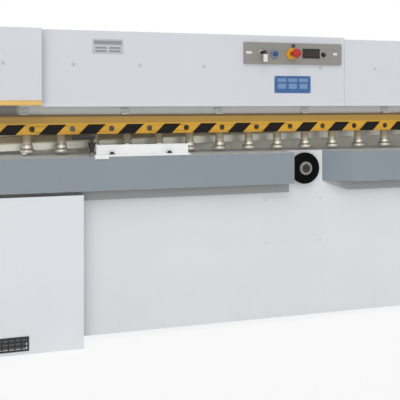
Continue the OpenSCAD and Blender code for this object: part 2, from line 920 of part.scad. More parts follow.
// Ram plate with a raked lower edge, a top flange, ribs and two rod ears
module ram() {
    x1 = ram_half_w;
    flange_t = 30;
    rib_t = 20;
    ear_w = 100;
    flange_inset = 200;
    rib_inset = 170;
    rib_pitch = 2 * (cyl_x - rib_inset) / (ram_rib_count - 1);
    color("lightgray")
        union() {
            translate([0, ram_end_y, 0])
                rotate([90, 0, 0])
                    linear_extrude(ram_t)
                        polygon([
                            [-x1, edge_z(-x1) + ram_lift], [x1, edge_z(x1) + ram_lift],
                            [x1, ram_top], [-x1, ram_top]
                        ]);
            span([-x1 + flange_inset, ram_end_y - eps, ram_top - flange_t],
                 [x1 - flange_inset, ram_end_y + ram_rib_d, ram_top]);
            for (k = [0 : ram_rib_count - 1])
                translate([-cyl_x + rib_inset + k * rib_pitch, 0, 0])
                    span([-rib_t / 2, ram_end_y - eps, ram_rib_z],
                         [rib_t / 2, ram_end_y + ram_rib_d, ram_top - eps]);
            both_ends()
                span([-cyl_x - ear_w / 2, ram_end_y - eps, ear_top - ear_t],
                     [-cyl_x + ear_w / 2, cyl_y + 40, ear_top]);
        }
}

// Bronze-faced guide strips on the side frames' inner faces
module ram_guides() {
    color("darkgoldenrod")
        both_ends()
            span([-frame_in, ram_y - 10, throat_top + 12],
                 [-ram_half_w - ram_guide_gap, ram_end_y + 10, frame_top - 20]);
}

// Main cylinder with closed top, rod gland, a lug on the side frame and two pipe ports
module ram_cylinder() {
    gland_h = 30;
    cap_h = 25;
    lug_h = 60;
    difference() {
        union() {
            translate([-cyl_x, cyl_y, cyl_z])
                cylinder(h = cyl_h, r = cyl_r);
            span([-frame_in, cyl_y - cyl_r * 0.8, cyl_z + cyl_h - lug_h - 10],
                 [-cyl_x - cyl_r * 0.4, cyl_y + cyl_r * 0.8, cyl_z + cyl_h - 10]);
            for (z = [pressure_z, return_z])
                span([-cyl_x + cyl_r * 0.9, cyl_y - port_size / 2, z - port_size / 2],
                     [-cyl_x + cyl_r + port_l, cyl_y + port_size / 2, z + port_size / 2]);
        }
        translate([-cyl_x, cyl_y, cyl_z + gland_h])
            cylinder(h = cyl_h - gland_h - cap_h, r = cyl_bore_r);
        translate([-cyl_x, cyl_y, cyl_z - eps])
            cylinder(h = gland_h + 2 * eps, r = rod_r + fit_gap);
    }
}

module ram_cylinders() {
    color("dimgray")
        both_ends()
            ram_cylinder();
}

// Piston and rod in one piece, standing on the ram's ear
module ram_pistons() {
    piston_h = 40;
    piston_z = cyl_z + cyl_h - 25 - piston_h - 5;
    color("silver")
        both_ends()
            translate([-cyl_x, cyl_y, 0]) {
                translate([0, 0, ear_top])
                    cylinder(h = piston_z - ear_top + eps, r = rod_r);
                translate([0, 0, piston_z])
                    cylinder(h = piston_h, r = cyl_bore_r - fit_gap);
            }
}

// ---- Hold-downs ----

// Short single-acting cylinders flanged to the beam's underside
module hold_down_cylinders() {
    cap_h = 10;
    flange_h = 10;
    flange_r = hold_cyl_r + 3;
    color("dimgray")
        for (x = hold_x)
            translate([x, pad_y, hold_cyl_z])
                rotate_extrude()
                    polygon([
                        [plunger_r + fit_gap, 0], [hold_cyl_r, 0],
                        [hold_cyl_r, hold_beam_z - hold_cyl_z - flange_h],
                        [flange_r, hold_beam_z - hold_cyl_z - flange_h],
                        [flange_r, hold_beam_z - hold_cyl_z],
                        [0, hold_beam_z - hold_cyl_z], [0, hold_beam_z - hold_cyl_z - cap_h],
                        [plunger_r + fit_gap, hold_beam_z - hold_cyl_z - cap_h]
                    ]);
}

module hold_down_plungers() {
    color("silver")
        for (x = hold_x)
            translate([x, pad_y, pad_z + pad_h])
                cylinder(h = hold_beam_z - 14 - pad_z - pad_h, r = plunger_r);
}

// Turned clamping pads with a chamfered shoulder
module hold_down_pads() {
    neck_r = plunger_r + 4;
    rim_h = 13;
    color("lightgray")
        for (x = hold_x)
            translate([x, pad_y, pad_z])
                rotate_extrude()
                    polygon([
                        [0, 0], [pad_r - 2, 0], [pad_r, 2], [pad_r, rim_h],
                        [neck_r, rim_h + 8], [neck_r, pad_h], [0, pad_h]
                    ]);
}

// ---- Back gauge ----

// Two rails from the bed's web to the rear tube
module gauge_rails() {
    color("gainsboro")
        both_ends()
            span([-screw_x - gauge_rail_w / 2, knife_back_y, gauge_rail_top - gauge_rail_h],
                 [-screw_x + gauge_rail_w / 2, rear_beam_y, gauge_rail_top]);
}

// Pillow block with a bore along Y
module bearing_y(x, y, r) {
    difference() {
        span([x - 35, y, gauge_rail_top], [x + 35, y + bearing_l, drive_z + 34]);
        rod_y(x, drive_z, r + fit_gap, y - eps, y + bearing_l + eps);
    }
}

// Pillow block on a rail with a bore along X
module bearing_x(x) {
    block_w = 24;
    difference() {
        span([x - block_w / 2, cross_y - 24, gauge_rail_top], [x + block_w / 2, cross_y + 24, drive_z + 24]);
        rod_x(cross_y, drive_z, shaft_r + fit_gap, x - block_w / 2 - eps, x + block_w / 2 + eps);
    }
}

// Screw bearings, cross shaft bearings, the handwheel shaft's front bush and its rear bracket
module gauge_bearings() {
    bush_l = 14;
    color("dimgray") {
        for (side = [-1, 1]) {
            bearing_y(side * screw_x, front_bearing_y, screw_r);
            bearing_y(side * screw_x, rear_bearing_y, screw_r);
            bearing_x(side * (screw_x - mitre_r - 15));
        }
        difference() {
            rod_y(wheel_x, drive_z, shaft_r + 16, bed_y - bush_l, bed_y);
            rod_y(wheel_x, drive_z, shaft_r + fit_gap, bed_y - bush_l - eps, bed_y + eps);
        }
        difference() {
            union() {
                rod_y(wheel_x, drive_z, shaft_r + 12, cut_y + 90, cut_y + 120);
                span([wheel_x - 20, knife_back_y, drive_z - 44],
                     [wheel_x + 20, cut_y + 120, drive_z - shaft_r - 6]);
            }
            rod_y(wheel_x, drive_z, shaft_r + fit_gap, cut_y + 90 - eps, cut_y + 120 + eps);
        }
    }
}

// Gauge bar with the two arms that stand on the carriages
module backgauge_bar() {
    arm_w = 60;
    arm_t = 20;
    color("silver") {
        span([-gauge_half_w, gauge_y, table_h - 20], [gauge_half_w, gauge_y + gauge_t, gauge_bar_top]);
        span([-gauge_half_w, gauge_y + gauge_t - eps, table_h - 20],
             [gauge_half_w, gauge_y + gauge_t + 30, table_h - 12]);
        both_ends()
            span([-screw_x - arm_w / 2, gauge_y + eps, gauge_arm_z],
                 [-screw_x + arm_w / 2, carriage_y + carriage_l, gauge_arm_z + arm_t]);
    }
}

// Nut blocks that run on the screws just above the rails
module backgauge_carriages() {
    end_y = carriage_y + carriage_l;
    color("darkgoldenrod")
        for (x = [-screw_x, screw_x])
            difference() {
                span([x - 32, carriage_y, gauge_rail_top + 0.3], [x + 32, end_y, gauge_arm_z]);
                rod_y(x, drive_z, screw_r + fit_gap, carriage_y - eps, end_y + eps);
            }
}

// Mitre gear's pitch cone on +Z, small end nearest the shafts' crossing point
module mitre_cone() {
    translate([0, 0, mitre_small + mitre_gap])
        cylinder(h = mitre_r - mitre_small, r1 = mitre_small - mitre_gap, r2 = mitre_r - mitre_gap);
}

module gauge_screw(side) {
    translate([side * screw_x, cross_y, drive_z])
        rotate([-90, 0, 0]) {
            mitre_cone();
            translate([0, 0, mitre_r - eps])
                cylinder(h = rear_bearing_y + bearing_l + 5 - cross_y - mitre_r + eps, r = screw_r);
        }
}

module gauge_screw_left() {
    color("silver")
        gauge_screw(-1);
}

module gauge_screw_right() {
    color("silver")
        gauge_screw(1);
}

// Shaft across the machine with the three driven cones
module cross_shaft() {
    color("silver") {
        rod_x(cross_y, drive_z, shaft_r, -screw_x - mitre_r - mitre_gap, screw_x - mitre_small - mitre_gap);
        translate([wheel_x, cross_y, drive_z])
            rotate([0, 90, 0])
                mitre_cone();
        for (side = [-1, 1])
            translate([side * screw_x, cross_y, drive_z])
                rotate([0, -90, 0])
                    mitre_cone();
    }
}

module handwheel_shaft() {
    color("silver")
        translate([wheel_x, cross_y, drive_z])
            rotate([90, 0, 0]) {
                mitre_cone();
                translate([0, 0, mitre_r - eps])
                    cylinder(h = cross_y - mitre_r - wheel_front_y - wheel_t + 8 + eps, r = shaft_r);
            }
}

wheel_front_y = front_y + wheel_setback;

// Dished handwheel with a round rim, a solid web and a recessed face
module handwheel() {
    rim = wheel_t / 2;
    color("black")
        translate([wheel_x, wheel_front_y + wheel_t, drive_z])
            rotate([90, 0, 0])
                rotate_extrude($fn = 72) {
                    translate([wheel_r - rim, rim])
                        circle(r = rim);
                    polygon([
                        [0, 8], [shaft_r + 14, 8], [shaft_r + 14, 2], [wheel_r - rim, 4],
                        [wheel_r - rim, wheel_t - 6], [dial_r + 6, wheel_t - 8],
                        [dial_r + 2, wheel_t - 8], [dial_r + 2, wheel_t - 12], [0, wheel_t - 12]
                    ]);
                }
}

// Turns counter in the middle of the handwheel
module handwheel_dial() {
    color("gainsboro")
        translate([wheel_x, wheel_front_y + 12, drive_z])
            rotate([90, 0, 0])
                rotate_extrude($fn = 72)
                    polygon([
                        [0, 0], [dial_r, 0], [dial_r, 12], [dial_r - 2, 14],
                        [dial_r - 11, 14], [dial_r - 13, 9], [0, 9]
                    ]);
}

// ---- Control panel ----

module control_panel() {
    color("gray")
        span([panel_x, panel_y, panel_z], [panel_x + panel_w, cover_y, panel_z + panel_h]);
}

// Rings round the push button and the mode switch, and a small lamp
module panel_bezels() {
    ring_t = 9;
    color("silver") {
        difference() {
            rod_y(button_x, panel_mid_z - 6, button_r + 10, panel_y - ring_t, panel_y);
            rod_y(button_x, panel_mid_z - 6, button_r + button_gap, panel_y - ring_t - eps, panel_y + eps);
        }
        rod_y(switch_x, panel_mid_z, 14, panel_y - 5, panel_y);
        rod_y(lamp_x, lamp_z, 8, panel_y - 7, panel_y);
    }
}

module counter_display() {
    display_t = 4;
    display_z = panel_mid_z - display_h / 2;
    color("black")
        span([display_x, panel_y - display_t, display_z],
             [display_x + display_w, panel_y, display_z + display_h]);
}

module blue_button() {
    color("royalblue")
        translate([button_x, panel_y - 3, panel_mid_z - 6])
            rotate([90, 0, 0])
                rotate_extrude()
                    polygon([[0, 0], [button_r, 0], [button_r, 13], [button_r - 2, 16], [0, 17]]);
}

module emergency_stop_base() {
    base_h = 8;
    color("gold")
        difference() {
            rod_y(estop_x, panel_mid_z - 3, estop_base_r, panel_y - base_h, panel_y);
            rod_y(estop_x, panel_mid_z - 3, estop_stem_r + button_gap, panel_y - base_h - eps, panel_y + eps);
        }
}

estop_stem_r = 10;

// Mushroom head on its stem
module emergency_stop_head() {
    color("firebrick")
        translate([estop_x, panel_y - 3, panel_mid_z - 3])
            rotate([90, 0, 0])
                rotate_extrude()
                    polygon([
                        [0, 0], [estop_stem_r, 0], [estop_stem_r, 49], [estop_head_r - 4, 52],
                        [estop_head_r, 57], [estop_head_r - 1, 63], [estop_head_r - 6, 68], [0, 70]
                    ]);
}

module speed_knob() {
    color("black")
        translate([speed_x, panel_y - 0.3, panel_mid_z - 4])
            rotate([90, 0, 0]) {
                cylinder(h = 14, r = 12);
                translate([0, 0, 14 - eps])
                    cylinder(h = 4 + eps, r = 9);
                translate([-1.5, 0, 16])
                    cube([3, 11.8, 3]);
            }
}

// Black hub with a flat white paddle that hangs down at rest
module mode_switch() {
    hub_r = 9;
    paddle_w = 20;
    paddle_t = 6;
    hub_l = 44;
    color("black")
        rod_y(switch_x, panel_mid_z, hub_r, panel_y - 5.3 - hub_l, panel_y - 5.3);
    color("white")
        span([switch_x - paddle_w / 2 + 4, panel_y - 5 - hub_l + 2, panel_mid_z - 46],
             [switch_x + paddle_w / 2 + 4, panel_y - 5 - hub_l + 2 + paddle_t, panel_mid_z - 5]);
}

module sign_plate() {
    plate_t = 2;
    color("steelblue")
        span([panel_x + sign_inset, cover_y - plate_t, cover_z + sign_rise],
             [panel_x + sign_inset + sign_w, cover_y, cover_z + sign_rise + sign_h]);
}

// ---- Hydraulic unit ----

// Welded tank on the crossbeam's rear face, with a filler cap and a sight glass boss
module oil_tank() {
    wall = [5, 5, 5];
    cap_h = 24;
    low = [tank_x, crossbeam_end_y, tank_z];
    high = [tank_x + tank_w, crossbeam_end_y + tank_d, tank_z + tank_h - cap_h];
    color("gray") {
        difference() {
            span(low, high);
            span(low + wall, high - wall);
        }
        translate([tank_x + 90, crossbeam_end_y + tank_d / 2, high[2]])
            cylinder(h = cap_h, r = 30);
        rod_y(tank_x + tank_w - 80, tank_z + 90, 18, crossbeam_end_y + tank_d, crossbeam_end_y + tank_d + 8);
    }
}

// Finned motor on a bracket, with its fan cowl and terminal box
module electric_motor() {
    fin_count = 24;
    fin_h = 8;
    cowl_l = 60;
    foot_inset = 32;
    color("slategray") {
        rod_x(motor_y, motor_z, motor_r, motor_x, motor_x + motor_l);
        translate([motor_x + 18, motor_y, motor_z])
            rotate([0, 90, 0])
                for (k = [0 : fin_count - 1])
                    rotate([0, 0, (k + 0.5) * 360 / fin_count])
                        translate([motor_r - 1, -1.5, 0])
                            cube([fin_h, 3, motor_l - 36]);
        rod_x(motor_y, motor_z, motor_r + fin_h, motor_x + motor_l - eps, motor_x + motor_l + cowl_l);
        span([motor_x + 2 * foot_inset, motor_y - 40, motor_z + motor_r - 6],
             [motor_x + motor_l - 2 * foot_inset, motor_y + 40, motor_z + motor_r + 40]);
        span([motor_x + foot_inset, crossbeam_end_y, motor_z - motor_r - 20],
             [motor_x + motor_l - foot_inset, motor_y + motor_r, motor_z - motor_r - 8]);
        span([motor_x + 1.6 * foot_inset, motor_y - 50, motor_z - motor_r - 9],
             [motor_x + motor_l - 1.6 * foot_inset, motor_y + 50, motor_z - 40]);
    }
}

// Gear pump and coupling bell between the tank and the motor
module hydraulic_pump() {
    color("dimgray") {
        rod_x(motor_y, motor_z, 44, motor_x - 34, motor_x);
        span([motor_x - pump_l, motor_y - 32, motor_z - 38],
             [motor_x - 34 + eps, motor_y + 32, motor_z + 38]);
    }
}

// Valve block with two solenoid coils
module valve_block() {
    block_w = 200;
    block_h = 112;
    block_d = 80;
    color("darkslategray") {
        span([valve_x, crossbeam_end_y, valve_z],
             [valve_x + block_w, crossbeam_end_y + block_d, valve_z + block_h]);
        for (x = [valve_x + 50, valve_x + 150])
            span([x - 22, crossbeam_end_y + block_d - eps, valve_z + 34],
                 [x + 22, crossbeam_end_y + block_d + 70, valve_z + 78]);
    }
}

// Square pipe fitting centred on a point
module pipe_fitting(x, y, z) {
    translate([x, y, z])
        cube(2 * pipe_r + 6, center = true);
}

// Pressure and return pipes from the valve block to both main cylinders
module hydraulic_pipes() {
    reach = cyl_x - cyl_r - port_l;
    drop_y = crossbeam_end_y + 40;
    color("silver") {
        rod_x(cyl_y, pressure_z, pipe_r, -reach, reach);
        pipe_fitting(pressure_x, cyl_y, pressure_z);
        rod_y(pressure_x, pressure_z, pipe_r, cyl_y + pipe_r, crossbeam_end_y);
        rod_x(cyl_y, return_z, pipe_r, -reach, reach);
        pipe_fitting(return_x, cyl_y, return_z);
        rod_y(return_x, return_z, pipe_r, cyl_y + pipe_r, drop_y - pipe_r);
        pipe_fitting(return_x, drop_y, return_z);
        translate([return_x, drop_y, return_z + pipe_r])
            cylinder(h = valve_z - return_z - pipe_r, r = pipe_r);
    }
}

// Mounting plate with contactors inside the left cabinet
module switchgear() {
    plate_t = 4;
    plate_w = 300;
    plate_h = 420;
    margin = 22;
    relay_w = 52;
    relay_h = 78;
    relay_d = 48;
    plate_x = -frame_in + 60;
    plate_z = cabinet_top - plate_h - 81;
    col_pitch = (plate_w - 2 * margin - relay_w) / 3;
    row_pitch = (plate_h - 4 * margin - relay_h) / 2;
    color("dimgray") {
        span([plate_x, bed_y - plate_t, plate_z], [plate_x + plate_w, bed_y, plate_z + plate_h]);
        for (row = [0 : 2])
            for (col = [0 : 3])
                translate([plate_x + margin + col * col_pitch, bed_y - plate_t - relay_d,
                           plate_z + 2 * margin + row * row_pitch])
                    cube([relay_w, relay_d + eps, relay_h]);
    }
}

// ---- Rear chute ----

chute_beam = 60;
chute_low_y = rear_y - 190;
chute_low_z = 190;
chute_half_w = frame_in - 380;

// Sloping sheet under the bed's web that carries the cut pieces out at the back
module rear_chute() {
    chute_t = 4;
    flange = 24;
    drop = 50;
    high_y = knife_back_y - flange;
    beam_end_y = chute_low_y + chute_beam;
    end_y = rear_y - 40;
    color("gainsboro")
        along_x(-chute_half_w, chute_half_w)
            polygon([
                [high_y, bed_box_z], [high_y, bed_box_z - chute_t], [knife_back_y, bed_box_z - chute_t],
                [chute_low_y, chute_low_z], [beam_end_y, chute_low_z], [end_y, chute_low_z - drop],
                [end_y, chute_low_z - drop + chute_t], [beam_end_y, chute_low_z + chute_t],
                [chute_low_y, chute_low_z + chute_t], [knife_back_y, bed_box_z]
            ]);
}

side_frame_left();
side_frame_right();
bed();
hold_down_beam();
upper_crossbeam();
rear_crossbeams();
foot_plates();
beam_cover_left();
beam_cover_right();
cover_screws();
housing_left();
housing_right();
housing_trims();
cabinet_left();
cabinet_right();
vent_grilles();
access_panel();
table_left();
table_right();
table_rails();
front_gauge_bar();
gauge_clamp_lever();
finger_guard();
guard_stripes();
guard_brackets();
lower_blade();
ram();
upper_blade();
ram_guides();
ram_cylinders();
ram_pistons();
hold_down_cylinders();
hold_down_plungers();
hold_down_pads();
gauge_rails();
gauge_bearings();
backgauge_bar();
backgauge_carriages();
gauge_screw_left();
gauge_screw_right();
cross_shaft();
handwheel_shaft();
handwheel();
handwheel_dial();
control_panel();
panel_bezels();
counter_display();
blue_button();
emergency_stop_base();
emergency_stop_head();
speed_knob();
mode_switch();
sign_plate();
oil_tank();
electric_motor();
hydraulic_pump();
valve_block();
hydraulic_pipes();
switchgear();
rear_chute();
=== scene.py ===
import math

import bpy
import numpy as np
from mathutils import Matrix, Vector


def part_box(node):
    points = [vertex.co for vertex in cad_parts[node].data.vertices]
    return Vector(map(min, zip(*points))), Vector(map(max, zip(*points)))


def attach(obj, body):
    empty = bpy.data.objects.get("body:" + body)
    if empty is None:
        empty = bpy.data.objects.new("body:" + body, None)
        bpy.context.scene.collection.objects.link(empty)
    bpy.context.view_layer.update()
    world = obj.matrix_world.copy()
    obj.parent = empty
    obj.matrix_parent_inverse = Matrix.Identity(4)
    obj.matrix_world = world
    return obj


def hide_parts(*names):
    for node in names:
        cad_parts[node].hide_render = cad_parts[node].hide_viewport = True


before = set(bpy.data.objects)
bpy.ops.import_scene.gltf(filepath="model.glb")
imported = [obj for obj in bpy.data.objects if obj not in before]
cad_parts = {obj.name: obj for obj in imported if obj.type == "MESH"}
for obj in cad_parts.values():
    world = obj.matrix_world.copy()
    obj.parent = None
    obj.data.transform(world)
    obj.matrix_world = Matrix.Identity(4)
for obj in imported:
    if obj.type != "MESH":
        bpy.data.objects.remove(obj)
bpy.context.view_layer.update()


# ---- Camera, floor and light ----
# A level camera at chest height, left of the machine and turned towards its middle. The machine
# stands on a pale floor in wide, soft light.
table_face_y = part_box("table_left")[0][1]
eye_height = 1.102
eye_x = -1.667
eye_distance = 3.290
turn_right = math.radians(18.0)

lens_data = bpy.data.cameras.new("camera")
lens_data.lens = 67.23
lens_data.sensor_width = 36.0
lens_data.shift_y = -0.25
lens_data.clip_start = 0.05
lens_data.clip_end = 200.0
camera = bpy.data.objects.new("camera", lens_data)
camera.location = (eye_x, table_face_y - eye_distance, eye_height)
camera.rotation_euler = (math.radians(90.0), 0.0, -turn_right)
bpy.context.collection.objects.link(camera)
bpy.context.scene.camera = camera
bpy.context.scene.view_settings.view_transform = "Standard"


class Sock:
    """A value in a material. Arithmetic and comparisons on it add Math nodes and give a new
    value."""

    def __init__(self, finish, out):
        self.finish = finish
        self.out = out

    def math(self, operation, *others, first=None):
        values = [self, *others] if first is None else [first, self]
        return self.finish.node("ShaderNodeMath", {"operation": operation}, dict(enumerate(values)))

    def __add__(self, other):
        return self.math("ADD", other)

    def __sub__(self, other):
        return self.math("SUBTRACT", other)

    def __mul__(self, other):
        return self.math("MULTIPLY", other)

    def __truediv__(self, other):
        return self.math("DIVIDE", other)

    def __mod__(self, other):
        return self.math("FLOORED_MODULO", other)

    def __lt__(self, other):
        return self.math("LESS_THAN", other)

    def __gt__(self, other):
        return self.math("GREATER_THAN", other)

    def __abs__(self):
        return self.math("ABSOLUTE")

    def __rsub__(self, other):
        return self.math("SUBTRACT", first=other)

    __radd__ = __add__
    __rmul__ = __mul__

    def clipped(self):
        return self.math("MINIMUM", 1.0).math("MAXIMUM", 0.0)


class Finish:
    """One surface finish as a material. node() adds any shader node, and paint() sets the
    surface."""

    def __init__(self, name):
        self.material = bpy.data.materials.new(name)
        self.material.use_nodes = True
        self.tree = self.material.node_tree
        self.surface = self.tree.nodes["Principled BSDF"]

    def node(self, kind, settings=None, sockets=None, out=0):
        made = self.tree.nodes.new(kind)
        for key, value in (settings or {}).items():
            setattr(made, key, value)
        for key, value in (sockets or {}).items():
            self.feed(made.inputs[key], value)
        return Sock(self, made.outputs[out])

    def feed(self, socket, value):
        if isinstance(value, Sock):
            self.tree.links.new(value.out, socket)
        else:
            socket.default_value = value

    def place(self):
        return self.node("ShaderNodeTexCoord", out="Object")

    def split(self, vector):
        made = self.node("ShaderNodeSeparateXYZ", sockets={0: vector}).out.node
        return [Sock(self, out) for out in made.outputs]

    def noise(self, scale, detail=2.0, stretch=(1.0, 1.0, 1.0)):
        """Cloudy noise from 0 to 1, scale lumps to the metre, drawn out along the axes where
        stretch is small."""
        place = self.node("ShaderNodeMapping", sockets={0: self.place(), "Scale": stretch})
        return self.node("ShaderNodeTexNoise", out="Fac",
                         sockets={"Vector": place, "Scale": scale, "Detail": detail})

    def mix(self, mask, low, high):
        blend = self.node("ShaderNodeMix", {"data_type": "RGBA"}, {0: mask, 6: low, 7: high})
        return Sock(self, blend.out.node.outputs[2])

    def edge(self, low, high):
        """Distance from the nearest edge of a box. Of the three distances to its pairs of faces,
        it is the middle one."""
        gaps = [(v - a).math("MINIMUM", b - v)
                for v, a, b in zip(self.split(self.place()), low, high)]
        least = gaps[0].math("MINIMUM", gaps[1]).math("MINIMUM", gaps[2])
        most = gaps[0].math("MAXIMUM", gaps[1]).math("MAXIMUM", gaps[2])
        return gaps[0] + gaps[1] + gaps[2] - least - most

    def backdrop_seen(self):
        """1 on rays that the camera, a reflection or glass sends to the background, and 0 on rays
        that light things."""
        path = self.node("ShaderNodeLightPath").out.node
        camera_ray, *others = (Sock(self, path.outputs[ray]) for ray in (
            "Is Camera Ray", "Is Glossy Ray", "Is Transmission Ray"))
        return sum(others, camera_ray).clipped()

    def bump(self, height, depth):
        return self.node("ShaderNodeBump",
                         sockets={"Height": height, "Distance": depth, "Strength": 1.0})

    def paint(self, **values):
        for key, value in values.items():
            self.feed(self.surface.inputs[key.replace("_", " ")], value)
        return self


class Sky(Finish):
    """The world's nodes, built with the same calls as a finish."""

    def __init__(self, source):
        source.use_nodes = True
        self.tree = source.node_tree
        self.surface = self.tree.nodes["Background"]


white = (1.0, 1.0, 1.0, 1.0)
world = bpy.data.worlds.new("studio")
bpy.context.scene.world = world
sky = Sky(world)
ambient = 0.37
sky.paint(Color=white, Strength=sky.backdrop_seen() * (1.0 - ambient) + ambient)

for lamp, energy, spread, tilt in (("soft_key", 0.6, 30.0, 48.0),
                                   ("front_fill", 1.15, 60.0, 93.0)):
    lamp_data = bpy.data.lights.new(lamp, "SUN")
    lamp_data.energy = energy
    lamp_data.angle = math.radians(spread)
    light = bpy.data.objects.new(lamp, lamp_data)
    light.rotation_euler = (math.radians(tilt), 0.0, -turn_right)
    bpy.context.collection.objects.link(light)

floor_half = 30.0
glow_share = 0.88
floor_finish = Finish("studio floor").paint(Base_Color=(0.9, 0.9, 0.9, 1.0), Roughness=0.9)
floor_glow = floor_finish.node("ShaderNodeEmission", sockets={"Color": white, "Strength": 1.0})
floor_paint = Sock(floor_finish, floor_finish.surface.outputs[0])
floor_both = floor_finish.node("ShaderNodeMixShader", sockets={
    0: floor_finish.backdrop_seen() * glow_share, 1: floor_paint, 2: floor_glow})
floor_finish.feed(floor_finish.tree.nodes["Material Output"].inputs["Surface"], floor_both)
floor_mesh = bpy.data.meshes.new("floor")
floor_mesh.from_pydata([(x * floor_half, y * floor_half, 0.0)
                        for x, y in ((-1, -1), (1, -1), (1, 1), (-1, 1))], [], [(0, 1, 2, 3)])
floor_mesh.materials.append(floor_finish.material)
floor = bpy.data.objects.new("floor", floor_mesh)
floor.visible_shadow = False
bpy.context.collection.objects.link(floor)


# ---- Upper covers and end housings ----
# Folded 3 mm steel sheet in pale grey enamel over the hold-down beam and the ram, in two lengths
# that meet right of the middle, between two deeper housings. Domed screws in a duller enamel
# hold the sheets to blocks on the beam.
def soften(node, width):
    """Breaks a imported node's sharp edges by a width, without changing its mesh."""
    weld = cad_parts[node].modifiers.new("weld", "WELD")
    weld.merge_threshold = 0.00002
    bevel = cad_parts[node].modifiers.new("broken edges", "BEVEL")
    bevel.width = width
    bevel.segments = 2
    bevel.limit_method = "ANGLE"
    bevel.angle_limit = math.radians(40.0)
    bevel.harden_normals = True


def dress(finish, *nodes, edges=None):
    """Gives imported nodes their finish, and breaks their edges by the given width."""
    for node in nodes:
        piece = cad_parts[node]
        if not piece.material_slots:
            piece.data.materials.append(finish.material)
        for slot in piece.material_slots:
            slot.material = finish.material
        if edges:
            soften(node, edges)


def srgb(red, green, blue):
    """Linear colour of a paint given by its 0 to 255 screen values."""
    parts = np.array([red, green, blue]) / 255.0
    linear = np.where(parts > 0.04045, ((parts + 0.055) / 1.055) ** 2.4, parts / 12.92)
    return (*linear.tolist(), 1.0)


def enamel(name, colour, rough=0.42, box=None, low_darkening=0.0):
    """Sprayed enamel. Its tone drifts over half a metre and its skin has a fine orange peel. Near
    the edges of a given box it is rubbed thin in patches. It is darker in streaks towards the floor
    over the lowest 350 mm, by about a given share at floor level."""
    finish = Finish(name)
    red, green, blue = colour
    tone = finish.noise(2.2, 3.0)
    skin = finish.mix(tone, srgb(red - 5, green - 5, blue - 4), srgb(red + 4, green + 4, blue + 3))
    if low_darkening:
        height = finish.split(finish.place())[2]
        streaks = finish.noise(9.0, 5.0, (1.0, 1.0, 0.25))
        low_dark_mask = (1.0 - height / 0.35).clipped() * streaks * (2.0 * low_darkening)
        skin = finish.mix(low_dark_mask.clipped(), skin, srgb(red * 0.62, green * 0.60, blue * 0.56))
    if box is not None:
        rubbed = finish.edge(*box) < finish.noise(38.0, 4.0) * 0.012 - 0.0062
        skin = finish.mix(rubbed * 0.22, skin, srgb(150, 152, 155))
    return finish.paint(Base_Color=skin, Roughness=tone * 0.10 + (rough - 0.05),
                        Normal=finish.bump(finish.noise(520.0, 2.0), 0.00005))


cover_colour = (226, 229, 235)
for cover in ("beam_cover_left", "beam_cover_right", "housing_left", "housing_right"):
    dress(enamel(cover + " enamel", cover_colour, box=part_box(cover)), cover, edges=0.0012)
painted_screw = enamel("painted screws", (208, 211, 216), rough=0.5)
dress(painted_screw, "cover_screws")


# ---- Yellow trim bars ----
# Painted flat bars along the lower front edges of the two housings, in line with the finger guard
# between them. Oil and hands have dulled the enamel along their edges.
def warning_paint(name, box, bright=(255, 210, 122), painted_shade=0.0):
    """Yellow machine enamel, browner where it is dulled along the edges of its box. Above a given
    height, counted from the box's lower edge, it carries painted shade in a darker amber, and its
    top 10 mm carry a dark brown painted shadow line. With that height at 0 it has neither."""
    finish = Finish(name)
    red, green, blue = bright
    dulled = (1.0 - finish.edge(*box) / 0.012).clipped() * finish.noise(24.0, 4.0)
    tone = finish.noise(3.5, 3.0)
    skin = finish.mix(tone, srgb(red - 8, green - 10, blue - 12), srgb(red, green, blue))
    if painted_shade:
        # Painted shade from the cover above: darker amber from the given height up, and a dark
        # brown painted shadow line along the top.
        height = finish.split(finish.place())[2] - box[0][2]
        shadow_line_from = box[1][2] - box[0][2] - 0.012
        skin = finish.mix(((height - painted_shade) / 0.008).clipped(), skin, srgb(176, 139, 60))
        skin = finish.mix(((height - shadow_line_from) / 0.004).clipped(), skin, srgb(94, 78, 50))
    skin = finish.mix(dulled * 0.6, skin, srgb(150, 98, 38))
    return finish.paint(Base_Color=skin, Roughness=tone * 0.12 + 0.36,
                        Normal=finish.bump(finish.noise(520.0), 0.00005))


dress(warning_paint("trim yellow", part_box("housing_trims")), "housing_trims", edges=0.0008)


# ---- Name plate ----
# A thin satin plate with rounded corners at the cover's upper left, held by four rivets. It is
# left blank: one printed band and four short fields, all plain.
def metal(name, colour, rough=0.34, grain=(1.0, 60.0, 60.0), metallic=1.0, stain=0.10):
    """Bare metal with a machined grain that runs along the axis where grain is small, and faint
    handling stains."""
    finish = Finish(name)
    red, green, blue = colour
    lines = finish.noise(26.0, 3.0, grain)
    stains = (finish.noise(7.0, 4.0) - 0.45).clipped() * (4.0 * stain)
    shade = finish.mix(lines, srgb(red - 10, green - 10, blue - 10),
                       srgb(red + 8, green + 8, blue + 8))
    shade = finish.mix(stains.clipped(), shade, srgb(red * 0.62, green * 0.58, blue * 0.52))
    return finish.paint(Base_Color=shade, Metallic=metallic,
                        Roughness=lines * 0.14 + stains * 0.2 + (rough - 0.07),
                        Normal=finish.bump(lines, 0.00004))


def shell(rows):
    """Points and faces of a skin over rows of points. Each row closes on itself, and a flat face
    shuts each end."""
    count, around = rows.shape[:2]
    index = np.arange(count * around).reshape(count, around)
    ahead = np.roll(index, -1, axis=1)
    faces = np.stack([index[:-1], ahead[:-1], ahead[1:], index[1:]], axis=-1).reshape(-1, 4)
    ends = [index[0][::-1].tolist(), index[-1].tolist()]
    return rows.reshape(-1, 3), faces.tolist() + ends


